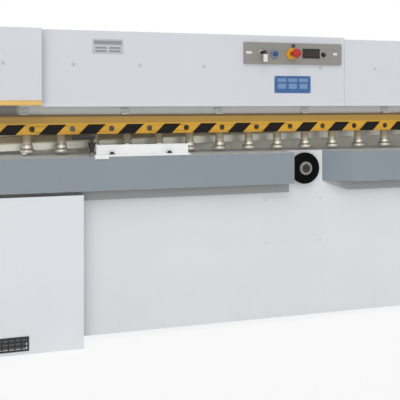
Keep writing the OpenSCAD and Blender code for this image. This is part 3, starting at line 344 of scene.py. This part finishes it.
def plaque(width, height, thick, corner=0.003, edge=0.0005):
    """A plate with rounded corners and a broken front edge, standing on +Z. At angle t round a
    corner's centre, the outline is centre + corner * (cos t, sin t), with five points to each
    quarter turn. The front row is drawn in by edge."""
    quarter, part = np.divmod(np.arange(20), 5)
    turn = np.radians(quarter * 90.0 + part * 22.5)
    diagonal = np.radians(quarter * 90.0 + 45.0)
    centre_x = np.sign(np.cos(diagonal)) * (width / 2 - corner)
    centre_y = np.sign(np.sin(diagonal)) * (height / 2 - corner)
    inset = np.array([0.0, 0.0, edge])[:, None]
    level = np.array([0.0, thick - edge, thick])[:, None]
    x = centre_x + (corner - inset) * np.cos(turn)
    y = centre_y + (corner - inset) * np.sin(turn)
    return shell(np.stack([x, y, np.broadcast_to(level, x.shape)], axis=-1))


def turned(radius, height, turn):
    """A skin of rings round +Z. Ring i stands at height i, and at the angle t it is
    (r cos t, r sin t) from the axis, where r is radius at that ring and angle."""
    level = np.broadcast_to(height[:, None], radius.shape)
    return shell(np.stack([radius * np.cos(turn), radius * np.sin(turn), level], axis=-1))


def lathe(profile, around=32, flutes=0, depth=0.0):
    """A turned shape on +Z from (radius, height) pairs. With flutes, a radius r becomes
    r * (1 - depth * (1 + cos(flutes * t)) / 2) at the angle t."""
    radius, height = np.array(profile).T
    turn = np.linspace(0.0, 2 * math.pi, around, endpoint=False)
    wave = 1.0 - depth * (1.0 + np.cos(flutes * turn)) / 2
    return turned(radius[:, None] * wave, height, turn)


def faced(unit, facing, place=(0.0, 0.0, 0.0)):
    """A unit turned from +Z to face along facing, and moved to a place."""
    points, faces = unit
    x, y, z = points.T
    axes = {"+z": (x, y, z), "-y": (x, -z, y), "+y": (x, z, -y), "+x": (z, y, -x), "-x": (-z, y, x)}
    return np.stack(axes[facing], axis=-1) + np.array(place), faces


def joined(*units):
    """Several units as one: their points in a row, and each one's faces counted on."""
    points, faces, count = [], [], 0
    for unit_points, unit_faces in units:
        points.append(unit_points)
        faces += [[corner + count for corner in face] for face in unit_faces]
        count += len(unit_points)
    return np.concatenate(points), faces


def put(name, unit, places, facing, finish, body="machine"):
    """Adds copies of a unit, each turned from +Z to face along facing, as one piece that rides on
    a body."""
    points, faces = joined(*[faced(unit, facing, place) for place in places])
    mesh = bpy.data.meshes.new(name)
    mesh.from_pydata(points, [], faces)
    mesh.polygons.foreach_set("use_smooth", np.ones(len(mesh.polygons), dtype=bool))
    mesh.set_sharp_from_angle(angle=math.radians(35.0))
    mesh.materials.append(finish.material)
    piece = bpy.data.objects.new(name, mesh)
    bpy.context.collection.objects.link(piece)
    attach(piece, body)
    return piece


def in_corners(low, high, inset, y):
    """Places in the four corners of a plate that faces -Y, inset from its edges, on the plane y."""
    return [(x, y, z) for x in (low[0] + inset, high[0] - inset)
            for z in (low[2] + inset, high[2] - inset)]


zinc = metal("zinc plate", (168, 170, 172), rough=0.42, grain=(8.0, 8.0, 8.0), metallic=0.7)
satin = metal("satin plate", (196, 198, 202), rough=0.5, grain=(1.0, 40.0, 90.0), metallic=0.2)
cover_face_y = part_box("sign_plate")[1][1]
plate_mid = np.array([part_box("beam_cover_left")[0][0] + 0.300, cover_face_y,
                      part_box("beam_cover_left")[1][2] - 0.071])
plate_size = np.array([0.142, 0.0, 0.068])
plate_thick = 0.0012
print_thick = 0.0017
rivet_inset = 0.005
plate_x, _, plate_z = plate_mid
put("name_plate", plaque(plate_size[0], plate_size[2], plate_thick), [plate_mid], "-y", satin)
plate_print = enamel("plate fields", (150, 153, 162), rough=0.5)
put("name_plate_band", plaque(plate_size[0] - 0.016, 0.018, print_thick, 0.001),
    [(plate_x, cover_face_y, plate_z + 0.018)], "-y", plate_print)
put("name_plate_fields", plaque(0.052, 0.009, print_thick, 0.001),
    [(plate_x + side * 0.032, cover_face_y, plate_z - 0.006 - row * 0.015)
     for side in (-1, 1) for row in (0, 1)], "-y", plate_print)
put("name_plate_rivets", lathe([(0.0024, 0.0), (0.0023, 0.0018), (0.0012, 0.0026)], around=16),
    in_corners(plate_mid - plate_size / 2, plate_mid + plate_size / 2, rivet_inset,
               cover_face_y - 0.001), "-y", zinc)


# ---- Control panel ----
# A flat box in grey enamel on the cover's middle, with a mode switch, a blue push button in its
# ring, a yellow-based stop mushroom, a dark turns counter, a key switch and a fluted speed knob.
# Its two small white labels are left blank.
def plastic(name, colour, rough=0.38, grain=0.00004):
    """Moulded plastic or rubber with a fine grain, a slow drift of tone and slightly uneven
    shine."""
    finish = Finish(name)
    red, green, blue = colour
    tone = finish.noise(14.0, 3.0)
    skin = finish.mix(tone, srgb(red * 0.9, green * 0.9, blue * 0.9),
                      srgb(red * 1.06 + 2, green * 1.06 + 2, blue * 1.06 + 2))
    return finish.paint(Base_Color=skin, Roughness=tone * 0.14 + (rough - 0.07),
                        Normal=finish.bump(finish.noise(900.0, 2.0), grain))


def corners_of(node):
    """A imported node's lowest and highest corner, as arrays."""
    low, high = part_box(node)
    return np.array(low), np.array(high)


def printed(width, height, corner):
    """A field printed in thick ink: a plate 0.3 mm high with its front edge broken by 0.1 mm."""
    return plaque(width, height, 0.0003, corner, 0.0001)


panel_low, panel_high = corners_of("control_panel")
panel_y = panel_low[1]
dress(enamel("panel grey", (152, 149, 143), rough=0.5), "control_panel", edges=0.0015)

bezel_low, bezel_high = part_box("panel_bezels")
button_ring_x = bezel_low[0] + 0.040
lamp_ring_x = bezel_high[0] - 0.020
ring_finish = metal("panel rings", (205, 207, 210), rough=0.36, grain=(20.0, 20.0, 20.0),
                    metallic=0.3)
along = ring_finish.split(ring_finish.place())[0]
ring_skin = ring_finish.mix(along > button_ring_x, srgb(204, 202, 194), srgb(122, 136, 152))
ring_skin = ring_finish.mix(along > lamp_ring_x, ring_skin, srgb(66, 58, 48))
dress(ring_finish.paint(Base_Color=ring_skin), "panel_bezels")
dress(plastic("blue button", (44, 76, 124), rough=0.25), "blue_button")
dress(plastic("stop red", (190, 34, 26), rough=0.26), "emergency_stop_head")
dress(plastic("stop yellow", (232, 166, 40), rough=0.36), "emergency_stop_base")

hub_radius = 0.009
switch_black = (26, 25, 26)
switch_finish = plastic("mode switch", switch_black)
hub_low_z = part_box("mode_switch")[1][2] - 2 * hub_radius
below_hub = switch_finish.split(switch_finish.place())[2] < hub_low_z
switch_skin = switch_finish.mix(below_hub, srgb(*switch_black), srgb(238, 238, 234))
dress(switch_finish.paint(Base_Color=switch_skin), "mode_switch", edges=0.0008)

dress(plastic("counter window", (16, 14, 16), rough=0.12, grain=0.0), "counter_display",
      edges=0.0008)
counter_low, counter_high = corners_of("counter_display")
counter_mid = (counter_low + counter_high) / 2
digit_pitch = (counter_high[0] - counter_low[0]) / 6.2
digit_h = digit_pitch * 1.15
bar_w = 0.0014
bar_corner = 0.0005
dim_red = plastic("unlit segment", (88, 40, 40), rough=0.3)
digit_xs = [counter_mid[0] + step * digit_pitch for step in (-2, -1, 0, 1, 2)]
put("counter_bars_flat", printed(digit_pitch * 0.46, bar_w, bar_corner),
    [(x, counter_low[1], counter_mid[2] + level * digit_h / 2)
     for x in digit_xs for level in (-1, 0, 1)], "-y", dim_red)
put("counter_bars_upright", printed(bar_w, digit_h * 0.38, bar_corner),
    [(x + side * digit_pitch * 0.27, counter_low[1], counter_mid[2] + level * digit_h / 4)
     for x in digit_xs for side in (-1, 1) for level in (-1, 1)], "-y", dim_red)

black = plastic("black plastic", (26, 25, 26))
white_label = plastic("blank label", (236, 236, 232), rough=0.5)
knob_low, knob_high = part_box("speed_knob")
knob_radius = (knob_high[0] - knob_low[0]) / 2
knob_x = (knob_low[0] + knob_high[0]) / 2
knob_z = knob_high[2] - knob_radius
knob = put("speed_knob_fluted", lathe([
    (knob_radius, 0.0), (knob_radius, 0.003), (knob_radius * 0.86, 0.005),
    (knob_radius * 0.84, 0.0135), (knob_radius * 0.74, 0.0155), (knob_radius * 0.70, 0.0175),
    (0.001, 0.0185)], around=96, flutes=16, depth=0.07),
    [(knob_x, knob_high[1], knob_z)], "-y", black, "speed_knob")
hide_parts("speed_knob")
put("speed_knob_pointer", plaque(0.0012, knob_radius * 0.8, 0.0189, 0.0004, 0.0002),
    [(knob_x, knob_high[1], knob_z + knob_radius * 0.32)], "-y", white_label,
    "speed_knob")
scale_radius = knob_radius + 0.006
scale_turns = [math.radians(turn) for turn in range(-135, 136, 27)]
put("speed_scale_dots", lathe([(0.0011, 0.0), (0.0010, 0.0002)], around=12),
    [(knob_x + scale_radius * math.sin(turn), panel_y, knob_z + scale_radius * math.cos(turn))
     for turn in scale_turns], "-y", white_label)

label_z = panel_low[2] + 0.054
label_h = 0.012
label_thick = 0.0008
for side, label_w, label_x in (("left", 0.030, panel_low[0] + 0.022),
                               ("right", 0.022, panel_high[0] - 0.037)):
    put("panel_label_" + side, plaque(label_w, label_h, label_thick, 0.001),
        [(label_x, panel_y, label_z)], "-y", white_label)
pan_head = lathe([(0.0042, 0.0), (0.0041, 0.0012), (0.0028, 0.0024), (0.0012, 0.0025),
                  (0.0008, 0.0014)], around=20)
put("panel_screws", pan_head, in_corners(panel_low, panel_high, 0.008, panel_y), "-y", zinc)
key_lock = lathe([(0.007, 0.0), (0.007, 0.0045), (0.0055, 0.0058), (0.0052, 0.0040),
                  (0.001, 0.0038)], around=28)
key_x, key_z = panel_high[0] - 0.036, panel_high[2] - 0.023
put("panel_key_switch", key_lock, [(key_x, panel_y, key_z)], "-y", zinc)


# ---- Sign plate ----
# A thin blue printed plate under the panel, held by four rivets. Its fields are plain paler
# blocks in two rows, with no words or pictures.
sign_low, sign_high = corners_of("sign_plate")
sign_x, _, sign_z = (sign_low + sign_high) / 2
sign_w, _, sign_h = sign_high - sign_low
sign_y = sign_low[1]
dress(enamel("sign blue", (62, 106, 160), rough=0.5, box=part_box("sign_plate")), "sign_plate",
      edges=0.0006)
field_blue = enamel("sign fields", (122, 152, 194), rough=0.5)
field_xs = [sign_x + step * sign_w * 0.30 for step in (-1, 0, 1)]
put("sign_fields_top", printed(sign_w * 0.24, sign_h * 0.20, corner=0.002),
    [(x, sign_y, sign_z + sign_h * 0.25) for x in field_xs], "-y", field_blue)
put("sign_fields_bottom", printed(sign_w * 0.22, sign_h * 0.30, corner=0.006),
    [(x, sign_y, sign_z - sign_h * 0.10) for x in field_xs], "-y", field_blue)
put("sign_rivets", lathe([(0.0026, 0.0), (0.0024, 0.0014), (0.001, 0.0020)], around=16),
    in_corners(sign_low, sign_high, 0.006, sign_y), "-y", zinc)


# ---- Finger guard ----
# Folded plate in yellow enamel hung in front of the hold-downs on grey angles, with round sight
# holes and slanted black bars painted on its lower half. Two hexagon screws hold each angle.
def hex_screw(flat):
    """A hexagon head on a washer, standing on +Z. At the angle t its side is
    flat / 2 / cos(t mod 60 - 30) from the axis, and its top is turned down to a cone."""
    degrees = np.arange(0.0, 360.0, 15.0)
    side = flat / 2 / np.cos(np.radians(degrees % 60.0 - 30.0))
    ring = np.full_like(degrees, flat)
    radius = np.array([ring * 0.92, ring * 0.92, side, side, np.minimum(side, ring * 0.535),
                       ring * 0.44])
    height = np.array([0.0, 0.10, 0.10, 0.60, 0.66, 0.70]) * flat
    return turned(radius, height, np.radians(degrees))


guard_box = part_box("finger_guard")
# The guard's upper half carries painted shade from the cover above it, and its top edge a painted
# shadow line.
dress(warning_paint("guard yellow", guard_box, bright=(226, 172, 46), painted_shade=0.046),
      "finger_guard", edges=0.0012)
dress(enamel("guard black", (14, 11, 7), rough=0.6).paint(Specular_IOR_Level=0.2),
      "guard_stripes")
bracket_finish = enamel("bracket grey", (220, 221, 216), rough=0.5)
dress(bracket_finish, "guard_brackets", edges=0.001)
bracket_low, bracket_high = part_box("guard_brackets")
bracket_count = 7
bracket_half = 0.020
bracket_face_y = guard_box[1][1] - 0.005
screw_spread = 0.011
bracket_xs = np.linspace(bracket_low[0] + bracket_half, bracket_high[0] - bracket_half,
                         bracket_count)
put("bracket_screws", hex_screw(0.010),
    [(x + side * screw_spread, bracket_face_y, bracket_high[2] - 0.009)
     for x in bracket_xs for side in (-1, 1)], "-y", bracket_finish)


# ---- Hold-down beam and hold-downs ----
# A welded box beam in the cover's enamel, with a row of short cylinders under it. Ground plungers
# carry round pads of cast steel that clamp the sheet before the knife comes down.
def primer(name, colour):
    """Brushed grey primer on hot-rolled plate: cloudy, matt, with mill scale showing through in
    patches."""
    finish = Finish(name)
    red, green, blue = colour
    cloud = finish.noise(5.0, 5.0)
    scale = (finish.noise(2.4, 6.0) - 0.60).clipped() * 2.4
    skin = finish.mix(cloud, srgb(red - 8, green - 8, blue - 8),
                      srgb(red + 6, green + 6, blue + 6))
    skin = finish.mix(scale.clipped(), skin, srgb(red * 0.72, green * 0.70, blue * 0.68))
    return finish.paint(Base_Color=skin, Roughness=cloud * 0.16 + 0.48,
                        Normal=finish.bump(finish.noise(160.0, 4.0), 0.0001))


def beam_enamel(name, guard_top, housing_shade_x):
    """The beam's enamel: clean above the guard, with painted brown shade behind it, and painted
    grey shade behind the housings, further than a given distance from the middle."""
    finish = Finish(name)
    across, _, height = finish.split(finish.place())
    tone = finish.noise(2.2, 3.0)
    # Painted shade: brown behind the guard, and grey behind the housings.
    guard_shade = ((guard_top - 0.012 - height) / 0.006).clipped()
    housing_shade = ((abs(across) - housing_shade_x) / 0.03).clipped() * 0.75
    skin = finish.mix(tone, srgb(238, 239, 235), srgb(246, 246, 242))
    skin = finish.mix(guard_shade, skin, srgb(104, 88, 56))
    skin = finish.mix(housing_shade, skin, srgb(104, 102, 92))
    return finish.paint(Base_Color=skin, Roughness=tone * 0.10 + 0.42,
                        Normal=finish.bump(finish.noise(520.0, 2.0), 0.00005))


def throat_steel(name, colour, shade_from_z, grain, metallic=1.0, rake=0.0):
    """Ground steel, bright up to a height, and above it a painted brown shade with a ragged edge,
    where the guard shades it; there it is not metallic. The height at which the painted shade
    begins holds at the machine's middle, and climbs along X by rake."""
    finish = Finish(name)
    red, green, blue = colour
    lines = finish.noise(26.0, 3.0, grain)
    across, _, height = finish.split(finish.place())
    ragged = (finish.noise(16.0, 3.0) - 0.5) * 0.5
    # Painted shade from the guard: a matt brown above the shade height, with a ragged edge.
    painted_shade = ((height - across * rake - shade_from_z) / 0.012 + ragged).clipped()
    skin = finish.mix(lines, srgb(red - 10, green - 10, blue - 10), srgb(red, green, blue))
    skin = finish.mix(painted_shade, skin, srgb(176, 162, 132))
    return finish.paint(Base_Color=skin, Metallic=(1.0 - painted_shade) * metallic,
                        Roughness=lines * 0.12 + painted_shade * 0.2 + 0.32,
                        Normal=finish.bump(lines, 0.00003))


# The beam carries painted shade behind the guard and behind the housings.
dress(beam_enamel("beam enamel", guard_top=guard_box[1][2], housing_shade_x=1.39), "hold_down_beam",
      edges=0.002)
dress(primer("cylinder paint", (112, 104, 88)), "hold_down_cylinders", edges=0.0008)
# Above 906 mm the plungers and pads carry painted shade from the guard.
dress(throat_steel("hold-down steel", (208, 204, 190), shade_from_z=0.906, grain=(30.0, 30.0, 2.0),
                   metallic=0.7), "hold_down_plungers", "hold_down_pads", edges=0.0006)


# ---- Table sections, rails and front gauge ----
# Two cast table sections in blue-grey enamel with ground tops, bolted to the bed above painted
# rails. A pale angle bar squares short pieces. It hooks over the table's edge, and a black lever
# and two hexagon screws hold it.
def table_enamel(name, node):
    """The table's enamel, rubbed to metal in patches along its edges. Faces that look up are bare
    steel instead, with the grind running along the machine."""
    finish = Finish(name)
    tone = finish.noise(2.0, 3.0)
    skin = finish.mix(tone, srgb(139, 149, 158), srgb(148, 158, 166))
    worn = finish.edge(*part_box(node)) < finish.noise(34.0, 4.0) * 0.016 - 0.0068
    skin = finish.mix(worn * 0.5, skin, srgb(176, 180, 182))
    facing = finish.split(finish.node("ShaderNodeTexCoord", out="Normal"))[2] > 0.7
    lines = finish.noise(30.0, 3.0, (1.0, 70.0, 70.0))
    bare = finish.mix(lines, srgb(228, 227, 220), srgb(242, 241, 235))
    return finish.paint(Base_Color=finish.mix(facing, skin, bare), Metallic=facing * 0.1,
                        Roughness=facing * (lines * 0.2 - 0.12) + 0.46,
                        Normal=finish.bump(finish.noise(480.0, 2.0), 0.00006))


for section in ("table_left", "table_right"):
    dress(table_enamel(section + " enamel", section), section, edges=0.0015)
dress(enamel("rail enamel", (160, 162, 162), rough=0.5), "table_rails", edges=0.0015)

bar_low, bar_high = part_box("front_gauge_bar")
foot_w = 0.033
bare_w = 0.0205
bar_start_x = bar_low[0] + foot_w
bar_length = bar_high[0] - bar_start_x
bar_finish = enamel("gauge bar enamel", (251, 252, 252), rough=0.4)
bar_white = bar_finish.mix(bar_finish.noise(4.0, 3.0), srgb(249, 250, 251), srgb(254, 254, 254))
bare_foot = bar_finish.split(bar_finish.place())[0] < bar_low[0] + bare_w
bar_skin = bar_finish.mix(bare_foot, bar_white, srgb(124, 122, 124))
dress(bar_finish.paint(Base_Color=bar_skin), "front_gauge_bar", edges=0.0008)
dress(black, "gauge_clamp_lever")
dark_screw = metal("dark screws", (66, 68, 70), rough=0.5, grain=(6.0, 6.0, 6.0), metallic=0.6)
bar_top_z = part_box("table_left")[1][2] + 0.008
bar_screw_y = bar_low[1] + 0.028
put("gauge_bar_screws", hex_screw(0.016),
    [(bar_start_x + share * bar_length, bar_screw_y, bar_top_z) for share in (0.16, 0.78)],
    "+z", dark_screw)


# ---- Bed and lower cabinets ----
# The bed is a deep welded front plate with a box behind it, enamelled pale grey. Folded sheet
# cabinets close both ends, with slotted black grilles over filter mats at the floor, and a
# screwed plate covers the gauge drive. The side frames stand on scaled foot plates.
dress(enamel("bed enamel", (232, 235, 238), rough=0.42, box=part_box("bed"), low_darkening=0.06), "bed",
      edges=0.002)
for cabinet in ("cabinet_left", "cabinet_right"):
    dress(enamel(cabinet + " enamel", (238, 241, 245), box=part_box(cabinet), low_darkening=0.08), cabinet,
          edges=0.0012)
dress(enamel("access enamel", (231, 234, 237)), "access_panel", edges=0.0004)
access_low, access_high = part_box("access_panel")
put("access_screws", pan_head, in_corners(access_low, access_high, 0.012, access_low[1]), "-y",
    painted_screw)

black_rough = plastic("matt black", (20, 19, 20), rough=0.55)
dress(black_rough, "vent_grilles")
grille_low, grille_high = corners_of("vent_grilles")
grille_w = 0.228
grille_h = grille_high[2] - grille_low[2]
mat_thick = 0.002
mat_y = grille_high[1] + 0.006
put("vent_filters", plaque(grille_w - 0.020, grille_h - 0.016, mat_thick),
    [(x, mat_y, grille_low[2] + grille_h / 2)
     for x in (grille_low[0] + grille_w / 2, grille_high[0] - grille_w / 2)],
    "-y", plastic("filter mat", (112, 112, 114), rough=0.8))
dress(metal("scaled plate", (96, 98, 100), rough=0.6, grain=(5.0, 5.0, 5.0), metallic=0.5,
            stain=0.25), "foot_plates", edges=0.0015)


# ---- Side frames, knives and ram ----
# Flame-cut side plates in grey primer carry the ram on bronze-faced guides. Two hydraulic
# cylinders push down the ribbed ram, and it and the bed hold ground tool-steel knives. A sheet on
# each side plate closes the throat past the end of the back gauge.
frame_primer = primer("frame primer", (214, 215, 214))
dress(frame_primer, "side_frame_left", "side_frame_right", "upper_crossbeam", "rear_crossbeams",
      edges=0.002)
dress(frame_primer, "gauge_rails", "rear_chute", edges=0.001)
throat_end_x = abs(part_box("side_frame_left")[1][0])
sheet_w = throat_end_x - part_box("backgauge_bar")[1][0] - 0.012
sheet_h = 0.150
sheet_thick = 0.003
sheet_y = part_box("ram")[1][1] + 0.040
sheet_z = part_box("bed")[1][2] - 0.070
put("throat_end_sheets", plaque(sheet_w, sheet_h, sheet_thick),
    [(side * (throat_end_x - sheet_w / 2), sheet_y, sheet_z) for side in (-1, 1)], "-y",
    frame_primer)

knife_low, knife_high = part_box("upper_blade")
knife_depth = 0.066
ground_band = 0.030
knife_climb = knife_high[2] - knife_low[2] - knife_depth
knife_mid_z = knife_low[2] + knife_climb / 2
# Above its bright ground band the upper knife carries painted shade from the guard.
dress(throat_steel("upper knife", (202, 200, 190), shade_from_z=knife_mid_z + ground_band,
                   grain=(1.0, 70.0, 70.0), rake=knife_climb / (knife_high[0] - knife_low[0])),
      "upper_blade", edges=0.0004)
dress(primer("ram paint", (242, 237, 216)), "ram", edges=0.002)
bronze = metal("bronze", (178, 142, 78), rough=0.36, grain=(12.0, 12.0, 3.0))
dress(bronze, "ram_guides", "backgauge_carriages", edges=0.0008)
oxide = metal("black oxide", (74, 76, 78), rough=0.5, grain=(6.0, 6.0, 6.0), metallic=0.6)
dress(oxide, "ram_cylinders", edges=0.0015)
dress(metal("ground rod", (150, 150, 146), rough=0.30, grain=(50.0, 50.0, 1.0)), "ram_pistons")

dress(metal("ground steel", (236, 235, 224), rough=0.46, grain=(1.0, 70.0, 70.0), metallic=0.1),
      "lower_blade", edges=0.0004)
blade_low, blade_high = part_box("lower_blade")
knife_screw_count = 20
knife_screw_z = blade_low[2] + 0.030
wheel_start_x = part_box("handwheel")[0][0]
drive_clearance = 0.12
knife_pitch = (blade_high[0] - blade_low[0]) / knife_screw_count
knife_screw_xs = [blade_low[0] + (step + 0.5) * knife_pitch for step in range(knife_screw_count)]
socket_head = lathe([(0.011, 0.0), (0.011, 0.0022), (0.0095, 0.003), (0.0062, 0.003),
                     (0.0058, 0.0008), (0.001, 0.0006)])
put("lower_knife_screws", socket_head,
    [(x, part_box("bed")[1][1], knife_screw_z) for x in knife_screw_xs
     if abs(x - wheel_start_x) > drive_clearance], "+y", oxide)


# ---- Back gauge ----
# A folded gauge bar on two nut carriages. Each rides a ground screw, driven through mitre gears
# by a cross shaft that the handwheel turns, so both ends move together. The screws run in pillow
# blocks on the rails.
def toothed(root, tip, depth, teeth):
    """A mitre gear on +Z from (radius, height) root to tip. At the angle t a radius r becomes
    r * (1 - depth * (1 + clip(2.4 * cos(teeth * t), -1, 1)) / 2), so that each tooth has flat
    flanks."""
    radius, height = np.array([root, tip, (tip[0] * 0.97, tip[1] + 0.0005)]).T
    turn = np.linspace(0.0, 2 * math.pi, teeth * 12, endpoint=False)
    wave = 1.0 - depth * (1.0 + np.clip(2.4 * np.cos(teeth * turn), -1.0, 1.0)) / 2
    return turned(radius[:, None] * wave, height, turn)


def threaded(radius, start, end, lead, starts, depth):
    """A screw on +Z. At height h and angle t its radius is radius - depth * w, where w is a
    trapezium wave of starts * (h / lead - t / 2 pi), so that the screw has that many right-handed
    threads. They fade out over the last 10 mm at each end."""
    turn = np.linspace(0.0, 2 * math.pi, 24, endpoint=False)
    height = np.linspace(start, end, int((end - start) * starts / lead * 8))
    phase = starts * (height[:, None] / lead - turn[None, :] / (2 * math.pi)) % 1.0
    fade = np.clip(np.minimum(height - start, end - height) / 0.01, 0.0, 1.0)[:, None]
    return turned(radius - depth * np.clip(2.0 - 8.0 * np.abs(phase - 0.5), 0.0, 1.0) * fade,
                  height, turn)


gauge_lead = 0.025
gear_length = 0.0295
wheel_low, wheel_high = corners_of("handwheel")
wheel_mid = (wheel_low + wheel_high) / 2
shaft_low, shaft_high = corners_of("cross_shaft")
_, drive_y, drive_z = (shaft_low + shaft_high) / 2
bright_shaft = metal("bright shaft", (168, 170, 172), rough=0.26, grain=(40.0, 40.0, 40.0))
gear = toothed(root=(0.0133, 0.0147), tip=(0.0292, 0.0300), depth=0.085, teeth=18)
for side in ("left", "right"):
    node = "gauge_screw_" + side
    low, high = corners_of(node)
    thread = threaded(0.0138, gear_length, high[1] - drive_y, gauge_lead, starts=5, depth=0.0014)
    screw = put(node + "_threaded", joined(gear, thread),
                [((low[0] + high[0]) / 2, drive_y, drive_z)], "+y", bright_shaft,
                "screw_" + side)
    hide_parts(node)

shaft_radius = 0.012
shaft_break = 0.001
shaft_length = shaft_high[0] - shaft_low[0]
shaft_skin = lathe([(shaft_radius - shaft_break, 0.0), (shaft_radius, shaft_break),
                    (shaft_radius, shaft_length - shaft_break),
                    (shaft_radius - shaft_break, shaft_length)], around=48)
gear_xs = [(wheel_mid[0], "+x"), (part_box("gauge_screw_left")[0][0] + gear_length, "-x"),
           (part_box("gauge_screw_right")[0][0] + gear_length, "-x")]
cross = put("cross_shaft_geared", joined(
    faced(shaft_skin, "+x", (shaft_low[0], drive_y, drive_z)),
    *[faced(gear, facing, (x, drive_y, drive_z)) for x, facing in gear_xs]),
    [(0.0, 0.0, 0.0)], "+z", bright_shaft, "cross_shaft")
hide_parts("cross_shaft")
dress(bright_shaft, "handwheel_shaft")
dress(oxide, "gauge_bearings", edges=0.0012)
dress(metal("gauge bar", (212, 211, 203), rough=0.4, grain=(1.0, 60.0, 60.0), metallic=0.6),
      "backgauge_bar", edges=0.0008)
carriage_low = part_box("backgauge_carriages")[0]
screw_x = (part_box("gauge_screw_right")[0][0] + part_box("gauge_screw_right")[1][0]) / 2
arm_top_z = drive_z + 0.080
put("gauge_arm_screws", hex_screw(0.013),
    [(side * screw_x + across * 0.018, carriage_low[1] + along, arm_top_z)
     for side in (-1, 1) for across in (-1, 1) for along in (0.015, 0.045)],
    "+z", zinc, "back_gauge")


# ---- Handwheel ----
# A dished wheel of black phenolic plastic behind the gap between the table sections. A bright
# bezel holds a dark dial that counts the gauge's travel: pale ticks every 18 degrees, no figures,
# and a dark pointer.
wheel_black = plastic("handwheel black", (8, 8, 9), rough=0.6, grain=0.00006)
dress(wheel_black.paint(Specular_IOR_Level=0.06), "handwheel")
tick_step = 18.0
tick_w = 2.6
tick_start, tick_end = 0.0160, 0.0195
bezel_start = 0.0212
dial_finish = Finish("dial")
across, _, up = dial_finish.split(dial_finish.place())
across = across - wheel_mid[0]
up = up - wheel_mid[2]
radius = (across * across + up * up).math("SQRT")
turn = up.math("ARCTAN2", across) * (180.0 / math.pi) + 360.0
tick = ((turn % tick_step) < tick_w) * (radius > tick_start) * (radius < tick_end)
bezel = radius > bezel_start
face = dial_finish.mix(tick, srgb(26, 26, 27), srgb(104, 104, 101))
dial_finish.paint(Base_Color=dial_finish.mix(bezel, face, srgb(140, 140, 136)),
                  Metallic=bezel * 0.3, Roughness=dial_finish.noise(60.0) * 0.16 + 0.24)
dress(dial_finish, "handwheel_dial")
put("dial_pointer", plaque(0.0016, 0.024, 0.0012, 0.0007, 0.0003),
    [(wheel_mid[0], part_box("handwheel_dial")[0][1] + 0.005, wheel_mid[2] + 0.003)], "-y",
    black_rough, "handwheel")


# ---- Hydraulic unit and switchgear ----
# Behind the upper crossbeam: a welded oil tank with a bolted lid and a sight glass, a finned
# motor with its pump, and a valve block. Cold-drawn pipes with union nuts feed the main
# cylinders. The switchgear stands in the left cabinet.
dress(enamel("unit enamel", (112, 118, 124), rough=0.44, box=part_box("oil_tank")), "oil_tank",
      edges=0.002)
dress(enamel("motor enamel", (104, 112, 120), rough=0.42), "electric_motor")
dress(metal("pump casting", (104, 106, 108), rough=0.48, grain=(9.0, 9.0, 9.0), metallic=0.6),
      "hydraulic_pump", edges=0.0015)
dress(oxide, "valve_block", edges=0.0012)
dress(metal("drawn tube", (164, 166, 166), rough=0.3, grain=(1.0, 30.0, 30.0)),
      "hydraulic_pipes", edges=0.0008)
dress(plastic("switchgear grey", (60, 62, 64), rough=0.45), "switchgear", edges=0.0008)

tank_low, tank_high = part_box("oil_tank")
breather_h = 0.024
sight_depth = 0.008
lid_margin = 0.020
lid_z = tank_high[2] - breather_h
tank_back_y = tank_high[1] - sight_depth
lid_w = tank_high[0] - tank_low[0] - 2 * lid_margin
lid_d = tank_back_y - tank_low[1] - 2 * lid_margin
lid_x, lid_y = (tank_low[0] + tank_high[0]) / 2, (tank_low[1] + tank_back_y) / 2
put("tank_lid_screws", hex_screw(0.010),
    [(lid_x + step * lid_w / 6, lid_y + side * lid_d / 2, lid_z)
     for step in range(-3, 4) for side in (-1, 1)], "+z", zinc)
put("tank_breather_ribs", lathe([(0.0302, 0.0), (0.0302, 0.020), (0.027, 0.0236)], around=96,
                                flutes=24, depth=0.05),
    [(tank_low[0] + 0.090, lid_y, lid_z)], "+z", black)
chrome = metal("bright ring", (205, 207, 210), rough=0.22, grain=(20.0, 20.0, 20.0))
oil_glass = plastic("sight glass", (150, 130, 70), rough=0.1, grain=0.0)
sight_place = (tank_high[0] - 0.080, tank_back_y, tank_low[2] + 0.090)
put("tank_sight_glass", lathe([(0.019, 0.0), (0.019, 0.005), (0.016, 0.0076), (0.0125, 0.0076),
                               (0.012, 0.005), (0.001, 0.0045)]),
    [sight_place], "+y", chrome)
put("tank_sight_window", lathe([(0.0118, 0.0), (0.0118, 0.0056), (0.001, 0.0062)]),
    [sight_place], "+y", oil_glass)

pipe_end_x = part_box("hydraulic_pipes")[1][0]
piston_low, piston_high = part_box("ram_pistons")
pipe_y = (piston_low[1] + piston_high[1]) / 2
pressure_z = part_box("ram_cylinders")[1][2] - 0.018
return_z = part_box("ram_cylinders")[0][2] + 0.030
for name, side, facing in (("left", -1, "+x"), ("right", 1, "-x")):
    put("pipe_nuts_" + name, hex_screw(0.024),
        [(side * pipe_end_x, pipe_y, level) for level in (pressure_z, return_z)], facing, zinc)
